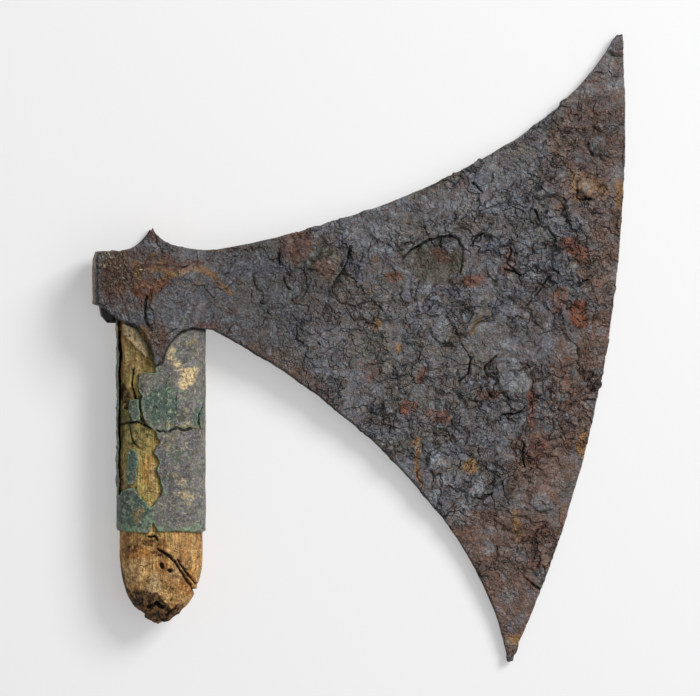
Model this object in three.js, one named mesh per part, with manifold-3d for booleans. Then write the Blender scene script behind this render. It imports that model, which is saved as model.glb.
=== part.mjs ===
// A broad axe of the Viking age as it was dug up: a thin, wide-edged head of forged iron, the stump of its
// wooden haft, and the torn brass sheet that was wrapped round the haft below the head. It lies on its side.
//
// Millimetres, +Z up. The head is worked out in its own frame, and then laid down as it rests:
//   u  from the haft's axis towards the cutting edge
//   v  up the haft, zero at the middle of the neck
//   w  out of the cheek that faces up

import * as THREE from "three";
import { mergeVertices } from "three/addons/utils/BufferGeometryUtils.js";
import Module from "manifold-3d";

// Haft: an oval stump, rotted back inside the eye and broken off below. It sits a little towards the poll.
const haftWidth = 33;
const haftThickness = 22.4;
const haftSetback = 0.8;
const haftTop = 11;
const haftLength = 143.6;
const haftBreakLength = 26;
const haftBreakLean = 0.7;

// Brass sheet round the haft
const sheetGauge = 0.9;
const sheetLift = 0.35;
const sheetTop = -9;
const sheetLength = 86.6;

// Eye and socket of the head
const eyeClearance = 0.35;
const cheekWall = 3;
const pollWall = 8.5;
const pollHalf = 9.6;
const pollSlant = 0.06;
const pollRise = 15.1;
const pollDrop = 13.2;
const neckSetback = 2.6;
const neckHalf = 6.6;
const neckRise = 15.7;
const neckDrop = 16.3;
const upperLobeSetback = 4.7;
const upperLobeRise = 24.1;
const lowerLobeSetback = 3.3;
const lowerLobeDrop = 30.2;

// Blade, from the neck to two blunt horns
const hornWidth = 2.3;
const upperHornReach = 183.6;
const upperHornRise = 101.8;
const lowerHornReach = 139.9;
const lowerHornDrop = 148.4;
const bladeHalf = 1.75;
const edgeHalf = 0.4;
const edgeBevel = 7;
const neckTaper = 13;
const cornerRound = 0.55;

// The front cheek's lower corner is broken away from the poll to the lobe, this deep
const chipDepth = 20;

// Scale has come off the upper face in two hollows: place, half sizes and depth
const hollows = [
  { u: 109, v: 12.5, halfU: 13, halfV: 9.5, depth: 0.7 },
  { u: 62, v: 11.5, halfU: 15, halfV: 12, depth: 0.45 },
];

// How the head lies: on a flat worn on the cheek below, and on the blade. Its plane leans this much along the haft.
const restFlat = 0.5;
const sideLean = 0.0135;

// How finely curves are divided
const ovalSides = 40;
const widestGap = 1.25;
const bladeStations = 26;
const rows = 17;
const outlineSteps = 60;
const hornStart = 0.988;
const haftSteps = 5;
const haftBreakSteps = 10;

// Sizes that follow from those above
const haftHalfU = haftWidth / 2;
const haftHalfW = haftThickness / 2;
const sheetOuter = sheetLift + sheetGauge;
const eyeHalfU = haftHalfU + sheetOuter + eyeClearance;
const eyeHalfW = haftHalfW + sheetOuter + eyeClearance;
const cheekHalf = eyeHalfW + cheekWall;
const pollReach = eyeHalfU + haftSetback + pollWall;
const neckReach = eyeHalfU - haftSetback + neckSetback;
const haftBottom = haftTop - haftLength;

const wasm = await Module();
wasm.setup();

// A closed geometry as a solid that can be cut and joined.
function toSolid(geometry) {
  const bare = geometry.index ? geometry.toNonIndexed() : geometry.clone();
  bare.deleteAttribute("normal");
  bare.deleteAttribute("uv");
  const merged = mergeVertices(bare, 1e-4);
  return new wasm.Manifold(
    new wasm.Mesh({
      numProp: 3,
      vertProperties: merged.attributes.position.array,
      triVerts: new Uint32Array(merged.index.array),
    }),
  );
}

// A solid as a geometry.
function toGeometry(solid) {
  const mesh = solid.getMesh();
  return new THREE.BufferGeometry()
    .setAttribute("position", new THREE.BufferAttribute(new Float32Array(mesh.vertProperties), 3))
    .setIndex(new THREE.BufferAttribute(new Uint32Array(mesh.triVerts), 1))
    .toNonIndexed();
}

// A closed skin over rings with equal numbers of points. Each ring runs out along one side and back along the
// other, so its two sides zip together across each end.
function loft(rings) {
  const count = rings[0].length;
  const positions = rings.flat().flatMap((point) => point.toArray());
  const index = [];
  const quad = (a, b, c, d) => index.push(a, b, c, a, c, d);
  for (let ring = 0; ring + 1 < rings.length; ring++) {
    const here = ring * count;
    const next = here + count;
    for (let i = 0; i < count; i++) {
      const j = (i + 1) % count;
      quad(here + i, next + i, next + j, here + j);
    }
  }
  const last = (rings.length - 1) * count;
  for (let i = 0; i + 1 < count / 2; i++) {
    quad(i, i + 1, count - 2 - i, count - 1 - i);
    quad(last + count - 1 - i, last + count - 2 - i, last + i + 1, last + i);
  }
  return new THREE.BufferGeometry()
    .setAttribute("position", new THREE.Float32BufferAttribute(positions, 3))
    .setIndex(index);
}

// The points of an oval, a little fuller than an ellipse, from its back round over the upper side.
function oval(halfU, halfW) {
  const fullness = 0.88;
  const points = [];
  for (let side = 0; side < ovalSides; side++) {
    const angle = Math.PI * (1 - (2 * (side + 0.5)) / ovalSides);
    const [c, s] = [Math.cos(angle), Math.sin(angle)];
    points.push(
      new THREE.Vector2(
        halfU * Math.sign(c) * Math.abs(c) ** fullness,
        halfW * Math.sign(s) * Math.abs(s) ** fullness,
      ),
    );
  }
  return points;
}

// A prism of a (u, w) section, from v = top down over a length. A hole's wall runs the other way round.
function prismAlongHaft(section, top, length, hole) {
  const shape = new THREE.Shape(section);
  if (hole) shape.holes.push(new THREE.Path([...hole].reverse()));
  const geometry = new THREE.ExtrudeGeometry(shape, { depth: length, bevelEnabled: false });
  geometry.rotateX(Math.PI / 2);
  geometry.translate(-haftSetback, top, 0);
  return toSolid(geometry);
}

// A prism of a (u, v) outline, from w = low up over a depth.
function prismAcross(outline, low, depth) {
  const shape = new THREE.Shape(outline.map(([u, v]) => new THREE.Vector2(u, v)));
  const geometry = new THREE.ExtrudeGeometry(shape, { depth, bevelEnabled: false });
  geometry.translate(0, 0, low);
  return toSolid(geometry);
}

// The v of a path of straight and curved stretches at a place u, where u never turns back.
function heightAt(points, u) {
  const next = Math.max(1, points.findIndex((point) => point.x >= u));
  const [a, b] = [points[next - 1], points[next]];
  const share = THREE.MathUtils.clamp((u - a.x) / (b.x - a.x), 0, 1);
  return a.y + (b.y - a.y) * share;
}

// The socket's upper outline, from the poll over the upper lobe's point to the neck.
function socketTop() {
  const path = new THREE.Path();
  const tip = -upperLobeSetback;
  path.moveTo(-pollReach, pollRise - 3.2);
  path.lineTo(-pollReach + 1.3, pollRise);
  path.lineTo(tip - 12.4, pollRise);
  path.quadraticCurveTo(tip - 4.2, pollRise + 1.2, tip, upperLobeRise);
  path.quadraticCurveTo(tip + 3.4, neckRise + 2, tip + 12, neckRise + 1.1);
  path.quadraticCurveTo(neckReach - 6, neckRise - 0.3, neckReach, neckRise);
  return path.getPoints(outlineSteps);
}

// The socket's lower outline, from the poll's broken corner over the lower lobe's blunt point to the neck.
function socketBottom() {
  const path = new THREE.Path();
  const tip = -lowerLobeSetback;
  path.moveTo(-pollReach, -pollDrop + 7.4);
  path.lineTo(-pollReach + 2.6, -pollDrop + 6.6);
  path.lineTo(-pollReach + 3.3, -pollDrop + 2.8);
  path.lineTo(-pollReach + 5.6, -pollDrop);
  path.lineTo(tip - 10.4, -pollDrop - 0.2);
  path.bezierCurveTo(tip - 4, -pollDrop - 2.4, tip - 1.8, -pollDrop - 8, tip - 0.4, -lowerLobeDrop);
  path.lineTo(tip + 2.2, -lowerLobeDrop + 1.6);
  path.bezierCurveTo(tip + 2.9, -neckDrop - 7.6, tip + 7, -neckDrop + 0.8, tip + 15.4, -neckDrop + 1.2);
  path.lineTo(neckReach, -neckDrop);
  return path.getPoints(outlineSteps);
}

// A cubic curve from one point to another. Each control is a share along the straight line and a share beside it.
function bowed(from, to, controls) {
  const along = to.clone().sub(from);
  const beside = new THREE.Vector2(-along.y, along.x);
  const [first, second] = controls.map(([run, rise]) =>
    from.clone().addScaledVector(along, run).addScaledVector(beside, rise),
  );
  return new THREE.CubicBezierCurve(from, first, second, to);
}

// The blade's three outlines: above, below, and the cutting edge. The first two stop short of the edge, so that
// the horns are blunt.
const upperHorn = new THREE.Vector2(upperHornReach, upperHornRise);
const lowerHorn = new THREE.Vector2(lowerHornReach, -lowerHornDrop);
const hornBack = new THREE.Vector2(-hornWidth, 0);
const bladeTop = bowed(new THREE.Vector2(neckReach, neckRise), upperHorn.clone().add(hornBack), [
  [0.247, -0.087],
  [0.737, -0.176],
]);
const bladeBottom = bowed(new THREE.Vector2(neckReach, -neckDrop), lowerHorn.clone().add(hornBack), [
  [0.28, 0.113],
  [0.745, 0.173],
]);
const cuttingEdge = bowed(lowerHorn, upperHorn, [
  [0.038, 0.006],
  [0.408, -0.142],
]);

// A point of the blade: a share of the way from the neck to the cutting edge, and a share up from its lower outline.
function bladePoint(out, up) {
  const low = out < 1 ? bladeBottom.getPoint(Math.min(1, out / hornStart)) : lowerHorn.clone();
  const high = out < 1 ? bladeTop.getPoint(Math.min(1, out / hornStart)) : upperHorn;
  const chord = lowerHorn.clone().lerp(upperHorn, up);
  const bulge = cuttingEdge.getPoint(up).sub(chord);
  return low.lerp(high, up).addScaledVector(bulge, out ** 1.6);
}

// Half the head's thickness at the socket, seen along the haft: square poll, full cheeks, and the neck.
const socketPlan = [
  [-pollReach, pollHalf - 1],
  [-pollReach + 1.2, pollHalf + 0.8],
  [-eyeHalfU - haftSetback, pollHalf + 3.4],
  [-eyeHalfU * 0.65, cheekHalf - 0.9],
  [-eyeHalfU * 0.25, cheekHalf],
  [eyeHalfU * 0.15, cheekHalf - 0.15],
  [eyeHalfU * 0.46, cheekHalf - 1.6],
  [eyeHalfU * 0.75, eyeHalfW * 0.62 + cheekWall],
  [neckReach, neckHalf],
].map(([u, half]) => new THREE.Vector2(u, half));
const socketPlanCurve = new THREE.SplineCurve(socketPlan).getPoints(outlineSteps * 2);

// Half the blade's thickness: it thins fast in front of the neck, stays thin, and is ground to the edge.
function bladeHalfAt(point, edgePoint) {
  const fromNeck = point.x - neckReach;
  const plate = bladeHalf + (neckHalf - bladeHalf) * Math.exp(-fromNeck / neckTaper);
  const bevel = Math.min(1, point.distanceTo(edgePoint) / edgeBevel);
  return edgeHalf + (plate - edgeHalf) * bevel;
}

// How far the upper face is sunk at a place.
function sunk(point) {
  return hollows.reduce((depth, hollow) => {
    const reach = Math.hypot((point.x - hollow.u) / hollow.halfU, (point.y - hollow.v) / hollow.halfV);
    return depth + hollow.depth * (1 - THREE.MathUtils.smoothstep(reach, 0.7, 1));
  }, 0);
}

// Row positions from the lower outline to the upper one, with a narrow row beside each for the worn corner.
function rowShares(span) {
  const corner = Math.min(0.1, cornerRound / Math.max(span, 1));
  const shares = [0, corner];
  for (let row = 1; row < rows; row++) shares.push(corner + ((1 - 2 * corner) * row) / rows);
  return [...shares, 1 - corner, 1];
}

// One ring round the head: up over the upper face and back over the lower one.
function headRing(place, halfAt, span) {
  const shares = rowShares(span);
  const last = shares.length - 1;
  const upper = [];
  const lower = [];
  shares.forEach((share, row) => {
    const point = place(share);
    const worn = row === 0 || row === last ? cornerRound : 0;
    const half = Math.max(halfAt(point, share) - worn, edgeHalf * 0.75);
    const top = Math.max(half - sunk(point), edgeHalf * 0.75);
    upper.push(new THREE.Vector3(point.x, point.y, top));
    lower.push(new THREE.Vector3(point.x, point.y, -half));
  });
  return [...upper, ...lower.reverse()];
}

// Where the socket's rings stand: at the corners of its outlines, and evenly between them.
function socketPlaces() {
  const corners = [0, 1.3, 2.6, 3.3, 5.6].map((step) => step - pollReach);
  corners.push(-upperLobeSetback - 12.4, -upperLobeSetback, -lowerLobeSetback - 0.4, -lowerLobeSetback + 2.2);
  corners.push(neckReach);
  return corners.slice(1).flatMap((end, i) => {
    const start = corners[i];
    const count = Math.ceil((end - start) / widestGap);
    return Array.from({ length: count }, (_, step) => THREE.MathUtils.lerp(start, end, step / count));
  });
}

// All rings of the head, from the poll to the cutting edge.
function headRings() {
  const [top, bottom] = [socketTop(), socketBottom()];
  const rings = socketPlaces().map((u) => {
    const [low, high] = [heightAt(bottom, u), heightAt(top, u)];
    const half = heightAt(socketPlanCurve, u);
    const place = (share) => new THREE.Vector2(u, THREE.MathUtils.lerp(low, high, share));
    const slant = pollSlant * (1 - THREE.MathUtils.smoothstep(u, -pollReach, -pollReach + pollWall));
    const ring = headRing(place, () => half, high - low);
    return ring.map((point) => point.setX(point.x + slant * point.z));
  });
  const stations = Array.from({ length: bladeStations }, (_, i) => hornStart * (1 - (1 - i / bladeStations) ** 1.25));
  for (const out of [...stations, hornStart, 1]) {
    const span = bladePoint(out, 0).distanceTo(bladePoint(out, 1));
    const place = (share) => bladePoint(out, share);
    rings.push(headRing(place, (point, share) => bladeHalfAt(point, cuttingEdge.getPoint(share)), span));
  }
  return rings;
}

// The slopes of the plane that the head lies on: it touches the blade somewhere, and leans as stated along the haft.
function lyingPlane(rings) {
  const foot = new THREE.Vector3(-lowerLobeSetback, 0, -(cheekHalf - restFlat));
  const slopes = rings
    .flat()
    .filter((point) => point.x > neckReach * 2)
    .map((point) => (point.z - foot.z + sideLean * (point.y - foot.y)) / (point.x - foot.x));
  const outward = Math.min(...slopes);
  const normal = new THREE.Vector3(-outward, sideLean, 1).normalize();
  return { foot, normal };
}

// The forged head: the lofted body, less the eye, the broken corner and what lies below the lying plane.
function makeHead(rings, lying) {
  const body = toSolid(loft(rings));
  const eyeOver = upperLobeRise + 5;
  const eye = prismAlongHaft(oval(eyeHalfU, eyeHalfW), eyeOver, eyeOver + lowerLobeDrop + 5);
  const corner = [
    [-pollReach - 2, -pollDrop + 7.2],
    [-pollReach + 3.8, -pollDrop + 5.7],
    [-eyeHalfU - 0.6, -pollDrop + 1.5],
    [-lowerLobeSetback - 10.2, -pollDrop - 0.4],
    [-pollReach - 2, -pollDrop - 3],
  ];
  const chip = prismAcross(corner, cheekHalf - chipDepth, chipDepth * 2);
  const turn = new THREE.Quaternion().setFromUnitVectors(new THREE.Vector3(0, 0, 1), lying.normal);
  const block = new THREE.BoxGeometry(600, 600, 40).translate(0, 0, -20).applyQuaternion(turn);
  const below = toSolid(block.translate(...lying.foot.toArray()));
  return toGeometry(body.subtract(eye).subtract(chip).subtract(below));
}

// The wooden stump: an even oval, then a rotted end that narrows as it broke.
function makeHaft() {
  const breakTop = haftBottom + haftBreakLength;
  const ring = (v, size) =>
    oval(haftHalfU * size, haftHalfW * (0.2 + 0.8 * size)).map((point) => {
      const ragged = (1 - size) * (Math.sin(point.x * 0.9 + v) + Math.cos(point.y * 1.3 - v * 0.7)) * 0.6;
      const lean = haftBreakLean * THREE.MathUtils.smoothstep(breakTop - v, 0, haftBreakLength);
      return new THREE.Vector3(point.x - haftSetback - lean, v + ragged, point.y);
    });
  const rings = [];
  for (let step = 0; step <= haftSteps; step++) {
    rings.push(ring(THREE.MathUtils.lerp(haftTop, breakTop, step / haftSteps), 1));
  }
  for (let step = 1; step <= haftBreakSteps; step++) {
    const angle = (Math.PI / 2) * (step / haftBreakSteps) * 0.92;
    rings.push(ring(breakTop - haftBreakLength * Math.sin(angle), Math.cos(angle) ** 1.1));
  }
  return toGeometry(toSolid(loft(rings)));
}

// A (u, v) outline from shares of the sheet's half width and of its length.
function onSheet(shares) {
  const halfU = haftHalfU + sheetOuter;
  return shares.map(([across, down]) => [halfU * across - haftSetback, sheetTop - sheetLength * down]);
}

// Where the front of the sheet is torn away, from the top down its right side and back up its left.
const tear = onSheet([
  [-0.09, -0.02],
  [-0.13, 0.277],
  [-0.52, 0.28],
  [-0.52, 0.355],
  [-0.43, 0.378],
  [-0.46, 0.44],
  [-0.38, 0.5],
  [-0.19, 0.535],
  [-0.05, 0.59],
  [-0.19, 0.64],
  [-0.045, 0.68],
  [-0.11, 0.72],
  [0.07, 0.823],
  [-0.04, 0.845],
  [-0.26, 0.893],
  [-0.52, 0.83],
  [-0.62, 0.802],
  [-0.83, 0.812],
  [-0.955, 0.84],
  [-0.965, -0.02],
]);
const notch = onSheet([
  [-0.21, 0.955],
  [-0.05, 1.02],
  [-0.33, 1.02],
]);

// Scraps of the sheet that still cling to the bare wood.
const scraps = {
  sheet_scrap_by_lobe: onSheet([
    [-0.88, 0.06],
    [-0.8, 0.04],
    [-0.55, 0.08],
    [-0.36, 0.14],
    [-0.29, 0.195],
    [-0.36, 0.205],
    [-0.52, 0.165],
    [-0.72, 0.125],
    [-0.86, 0.095],
  ]),
  sheet_scrap_middle: onSheet([
    [-0.73, 0.4],
    [-0.52, 0.395],
    [-0.5, 0.49],
    [-0.66, 0.495],
    [-0.74, 0.455],
  ]),
  sheet_scrap_strip: onSheet([
    [-0.78, 0.785],
    [-0.77, 0.645],
    [-0.67, 0.62],
    [-0.55, 0.645],
    [-0.56, 0.77],
    [-0.62, 0.785],
  ]),
};

// The whole tube that the sheet once made.
function sheetTube() {
  const inner = oval(haftHalfU + sheetLift, haftHalfW + sheetLift);
  const outer = oval(haftHalfU + sheetOuter, haftHalfW + sheetOuter);
  return prismAlongHaft(outer, sheetTop, sheetLength, inner);
}

// What is left of the sheet, wrapped round the back and the right side.
function makeSheet() {
  const front = haftThickness;
  const torn = prismAcross(tear, 0, front).add(prismAcross(notch, 0, front));
  return toGeometry(sheetTube().subtract(torn));
}

// One scrap, cut from the same tube.
function makeScrap(outline) {
  return toGeometry(sheetTube().intersect(prismAcross(outline, 0, haftThickness)));
}

function iron() {
  return new THREE.MeshStandardMaterial({ color: 0x4d4a4b, roughness: 0.78, metalness: 0.25 });
}

function wood() {
  return new THREE.MeshStandardMaterial({ color: 0x8a6335, roughness: 0.85, metalness: 0 });
}

function brass() {
  return new THREE.MeshStandardMaterial({ color: 0x667064, roughness: 0.62, metalness: 0.35 });
}

function piece(name, geometry, material) {
  const mesh = new THREE.Mesh(geometry, material);
  mesh.name = name;
  return mesh;
}

const rings = headRings();
const lying = lyingPlane(rings);
const axe = new THREE.Group();
axe.name = "axe";
axe.add(piece("axe_head", makeHead(rings, lying), iron()));
axe.add(piece("haft", makeHaft(), wood()));
axe.add(piece("haft_sheet", makeSheet(), brass()));
for (const [name, outline] of Object.entries(scraps)) {
  axe.add(piece(name, makeScrap(outline), brass()));
}

// Laid down, with the origin under the middle of the whole.
axe.quaternion.setFromUnitVectors(lying.normal, new THREE.Vector3(0, 0, 1));
axe.updateMatrixWorld(true);
const extent = new THREE.Box3().setFromObject(axe, true);
const middle = extent.getCenter(new THREE.Vector3());
axe.position.set(-middle.x, -middle.y, -extent.min.z);

export default axe;
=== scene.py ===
"""A broad axe of the Viking age as it was dug up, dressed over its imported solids.

The head, the haft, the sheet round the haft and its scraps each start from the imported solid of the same
name. The solid's skin is divided finely, moved into its corroded or rotted surface, and painted.
Lengths are millimetres in the row frame unless a line says otherwise: +X from the haft to the cutting
edge, +Y up the haft, +Z towards the camera.
"""

import logging
import math
import random
from dataclasses import dataclass
from enum import Enum
from typing import Any, Callable

import bmesh
import bpy
import numpy as np
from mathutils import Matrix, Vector
from mathutils.bvhtree import BVHTree
from mathutils.kdtree import KDTree


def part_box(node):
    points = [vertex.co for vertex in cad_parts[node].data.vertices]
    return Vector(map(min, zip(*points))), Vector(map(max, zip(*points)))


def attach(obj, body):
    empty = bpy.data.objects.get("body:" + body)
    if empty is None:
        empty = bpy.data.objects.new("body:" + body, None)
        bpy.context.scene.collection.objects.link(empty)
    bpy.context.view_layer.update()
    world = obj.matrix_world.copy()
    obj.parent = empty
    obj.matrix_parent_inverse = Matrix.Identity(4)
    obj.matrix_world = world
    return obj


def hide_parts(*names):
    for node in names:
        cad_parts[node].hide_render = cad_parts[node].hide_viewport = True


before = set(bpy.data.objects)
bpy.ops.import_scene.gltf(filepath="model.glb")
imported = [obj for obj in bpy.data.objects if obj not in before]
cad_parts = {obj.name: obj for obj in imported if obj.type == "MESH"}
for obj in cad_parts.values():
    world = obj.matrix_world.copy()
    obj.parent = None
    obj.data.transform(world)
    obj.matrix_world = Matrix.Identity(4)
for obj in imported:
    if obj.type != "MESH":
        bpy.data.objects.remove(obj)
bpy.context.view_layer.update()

log = logging.getLogger("axe")
MM = 0.001
FAR = 99.0
Array = np.ndarray
Line = tuple[tuple[float, float], ...]


class Stain(Enum):
    """What an area of the surface is marked with. Each is an attribute that a material reads."""

    RUST = "rust"
    OCHRE = "ochre"
    PLATE = "plate"
    BROWN = "brown"
    SAND = "sand"
    CRACK = "crack"
    # Painted shade in pits, joints, on the eye's wall and along edges that face away from the light, and also
    # darker patches and dark lines drawn onto the crust.
    SHADE_AND_DARK_MARKS = "hollow"
    OLIVE = "olive"
    ROT = "rot"
    GREEN = "green"
    GOLD = "gold"
    RIM = "rim"
    CALM = "calm"
    SCARP = "scarp"
    OPEN = "open"


@dataclass(frozen=True)
class Patch:
    """An area seen from above: its stain, centre, half sizes, strength, turn in degrees and rise."""

    stain: Stain
    x: float
    y: float
    half_x: float
    half_y: float
    strength: float = 1.0
    turn: float = 0.0
    rise: float = 0.0

    def spread(self, places: Array) -> Array:
        """Works out how far places lie from the centre, as a share of the way to the border.

        Args:
            places: The places.

        Returns:
            0 at the centre and 1 on the border, for each place.
        """
        turn = math.radians(self.turn)
        right, up = places[:, 0] - self.x, places[:, 1] - self.y
        along = (right * math.cos(turn) + up * math.sin(turn)) / self.half_x
        across = (up * math.cos(turn) - right * math.sin(turn)) / self.half_y
        return np.hypot(along, across)


def patches(stain: Stain, *rows: tuple[float, ...]) -> tuple[Patch, ...]:
    """Returns patches of one stain, made from rows of their other values."""
    return tuple(Patch(stain, *row) for row in rows)


@dataclass(frozen=True)
class Streak:
    """A narrow stained line seen from above: its stain, corner points, half width and strength."""

    stain: Stain
    points: Line
    width: float
    strength: float


@dataclass(frozen=True)
class Crack:
    """A dark open crack seen from above: its corner points and width."""

    points: Line
    width: float


@dataclass(frozen=True)
class Hollow:
    """A place where a scab has broken off: its outline, depth, and where its wall is steepest."""

    points: Line
    depth: float
    steep_x: float
    steep_y: float

    def height(self, inward: Array, rest: Array) -> Array:
        """Works out how far the hollow lowers the skin.

        Args:
            inward: How far inside its outline each point lies, below zero outside.
            rest: The points.

        Returns:
            Millimetres for each point, below zero.
        """
        middle = np.array(self.points).mean(axis=0)
        toward = (rest[:, 0] - middle[0]) * self.steep_x + (rest[:, 1] - middle[1]) * self.steep_y
        return -self.depth * smooth(0.0, 0.55, inward) * (0.25 + 0.75 * smooth(-9.0, 7.0, toward))


@dataclass(frozen=True)
class Blister:
    """A round blister with a groove round it: its centre, radius and rise."""

    x: float
    y: float
    radius: float
    rise: float = 0.5


def smooth(edge_low: float, edge_high: float, value: Array) -> Array:
    """Turns a value into 0 below one edge and 1 above the other, with an even turn between.

    Args:
        edge_low: Where the result is 0.
        edge_high: Where the result is 1.
        value: The values.

    Returns:
        One number from 0 to 1 for each value.
    """
    share = np.clip((value - edge_low) / (edge_high - edge_low), 0.0, 1.0)
    return share * share * (3.0 - 2.0 * share)


def line_gap(points: Line, places: Array) -> Array:
    """Works out how far places lie from a bent line, seen from above.

    Args:
        points: The line's corners.
        places: The places.

    Returns:
        Millimetres for each place.
    """
    gap = np.full(len(places), FAR)
    for start, end in zip(points, points[1:]):
        first, span = np.array(start), np.array(end) - np.array(start)
        share = np.clip(((places[:, :2] - first) @ span) / (span @ span), 0.0, 1.0)
        gap = np.minimum(gap, np.linalg.norm(places[:, :2] - first - share[:, None] * span, axis=1))
    return gap


def lines_close(lines: tuple[Crack, ...], places: Array, reach: float) -> Array:
    """Says whether places lie near any of some cracks, which wander by as much again.

    Args:
        lines: The cracks.
        places: The places.
        reach: How near.

    Returns:
        True or False for each place.
    """
    close = np.zeros(len(places), bool)
    for line in lines:
        close |= line_gap(line.points, places) < reach * 2.0
    return close


class Noise:
    """Repeatable noise over places in millimetres."""

    def __init__(self, seed: int) -> None:
        """Keeps the seed, which makes one noise unlike another."""
        self.seed = seed

    def _random(self, cells: Array, salt: int) -> Array:
        """Gives each whole-numbered cell a random number.

        Args:
            cells: Whole numbers, three for each cell.
            salt: Makes one random number unlike another for the same cell.

        Returns:
            One number from 0 to 1 for each cell.
        """
        whole = cells.astype(np.int64).astype(np.uint32)
        mixed = whole[..., 0] * np.uint32(374761393) + whole[..., 1] * np.uint32(668265263)
        own = np.uint32((self.seed * 7919 + salt * 104729) & 0xFFFFFFFF)
        mixed = mixed + whole[..., 2] * np.uint32(2246822519) + own
        mixed = (mixed ^ (mixed >> np.uint32(13))) * np.uint32(1274126177)
        mixed = (mixed ^ (mixed >> np.uint32(16))) * np.uint32(2654435769)
        return ((mixed ^ (mixed >> np.uint32(15))) & np.uint32(0xFFFFFF)) / float(0xFFFFFF)

    def plain(self, places: Array, size: float, salt: int = 0) -> Array:
        """Smooth noise of one size.

        Args:
            places: Places in millimetres, three numbers each.
            size: The size of its lumps.
            salt: Makes one layer unlike another.

        Returns:
            One number from -1 to 1 for each place.
        """
        scaled = places / size
        low = np.floor(scaled)
        share = scaled - low
        share = share * share * (3.0 - 2.0 * share)
        total = np.zeros(len(places))
        for corner in np.ndindex(2, 2, 2):
            step = np.array(corner)
            weight = np.prod(np.where(step == 1, share, 1.0 - share), axis=1)
            total += weight * self._random(low + step, salt)
        return total * 2.0 - 1.0

    def layered(self, places: Array, size: float, layers: int = 4, salt: int = 0) -> Array:
        """Noise of several sizes, each half the last one's size and strength.

        Args:
            places: Places in millimetres, three numbers each.
            size: The size of the largest lumps.
            layers: How many sizes.
            salt: Makes one result unlike another.

        Returns:
            One number from about -1 to 1 for each place.
        """
        total = np.zeros(len(places))
        reach = 0.0
        for layer in range(layers):
            share = 0.55**layer
            total += share * self.plain(places + 17.3 * layer, size * 0.5**layer, salt + layer)
            reach += share
        return total / reach * 1.35

    def ridges(self, places: Array, size: float, layers: int = 3, salt: int = 0) -> Array:
        """Noise of thin creases.

        Args:
            places: Places in millimetres, three numbers each.
            size: The distance between creases.
            layers: How many sizes.
            salt: Makes one result unlike another.

        Returns:
            One number from 0 on a crease to 1 between creases, for each place.
        """
        total = np.zeros(len(places))
        reach = 0.0
        for layer in range(layers):
            share = 0.6**layer
            total += share * np.abs(self.plain(places + 9.1 * layer, size * 0.55**layer, salt + layer))
            reach += share
        return np.clip(total / reach * 2.0, 0.0, 1.0)

    def warped(self, places: Array, size: float, reach: float, salt: int = 0) -> Array:
        """Places shifted sideways by noise.

        Args:
            places: Places in millimetres, three numbers each.
            size: The size of the noise.
            reach: How far a place shifts.
            salt: Makes one result unlike another.

        Returns:
            The shifted places.
        """
        shifts = [self.layered(places, size, 3, salt + 31 * axis) * reach for axis in range(3)]
        return places + np.stack(shifts, axis=1)


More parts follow.
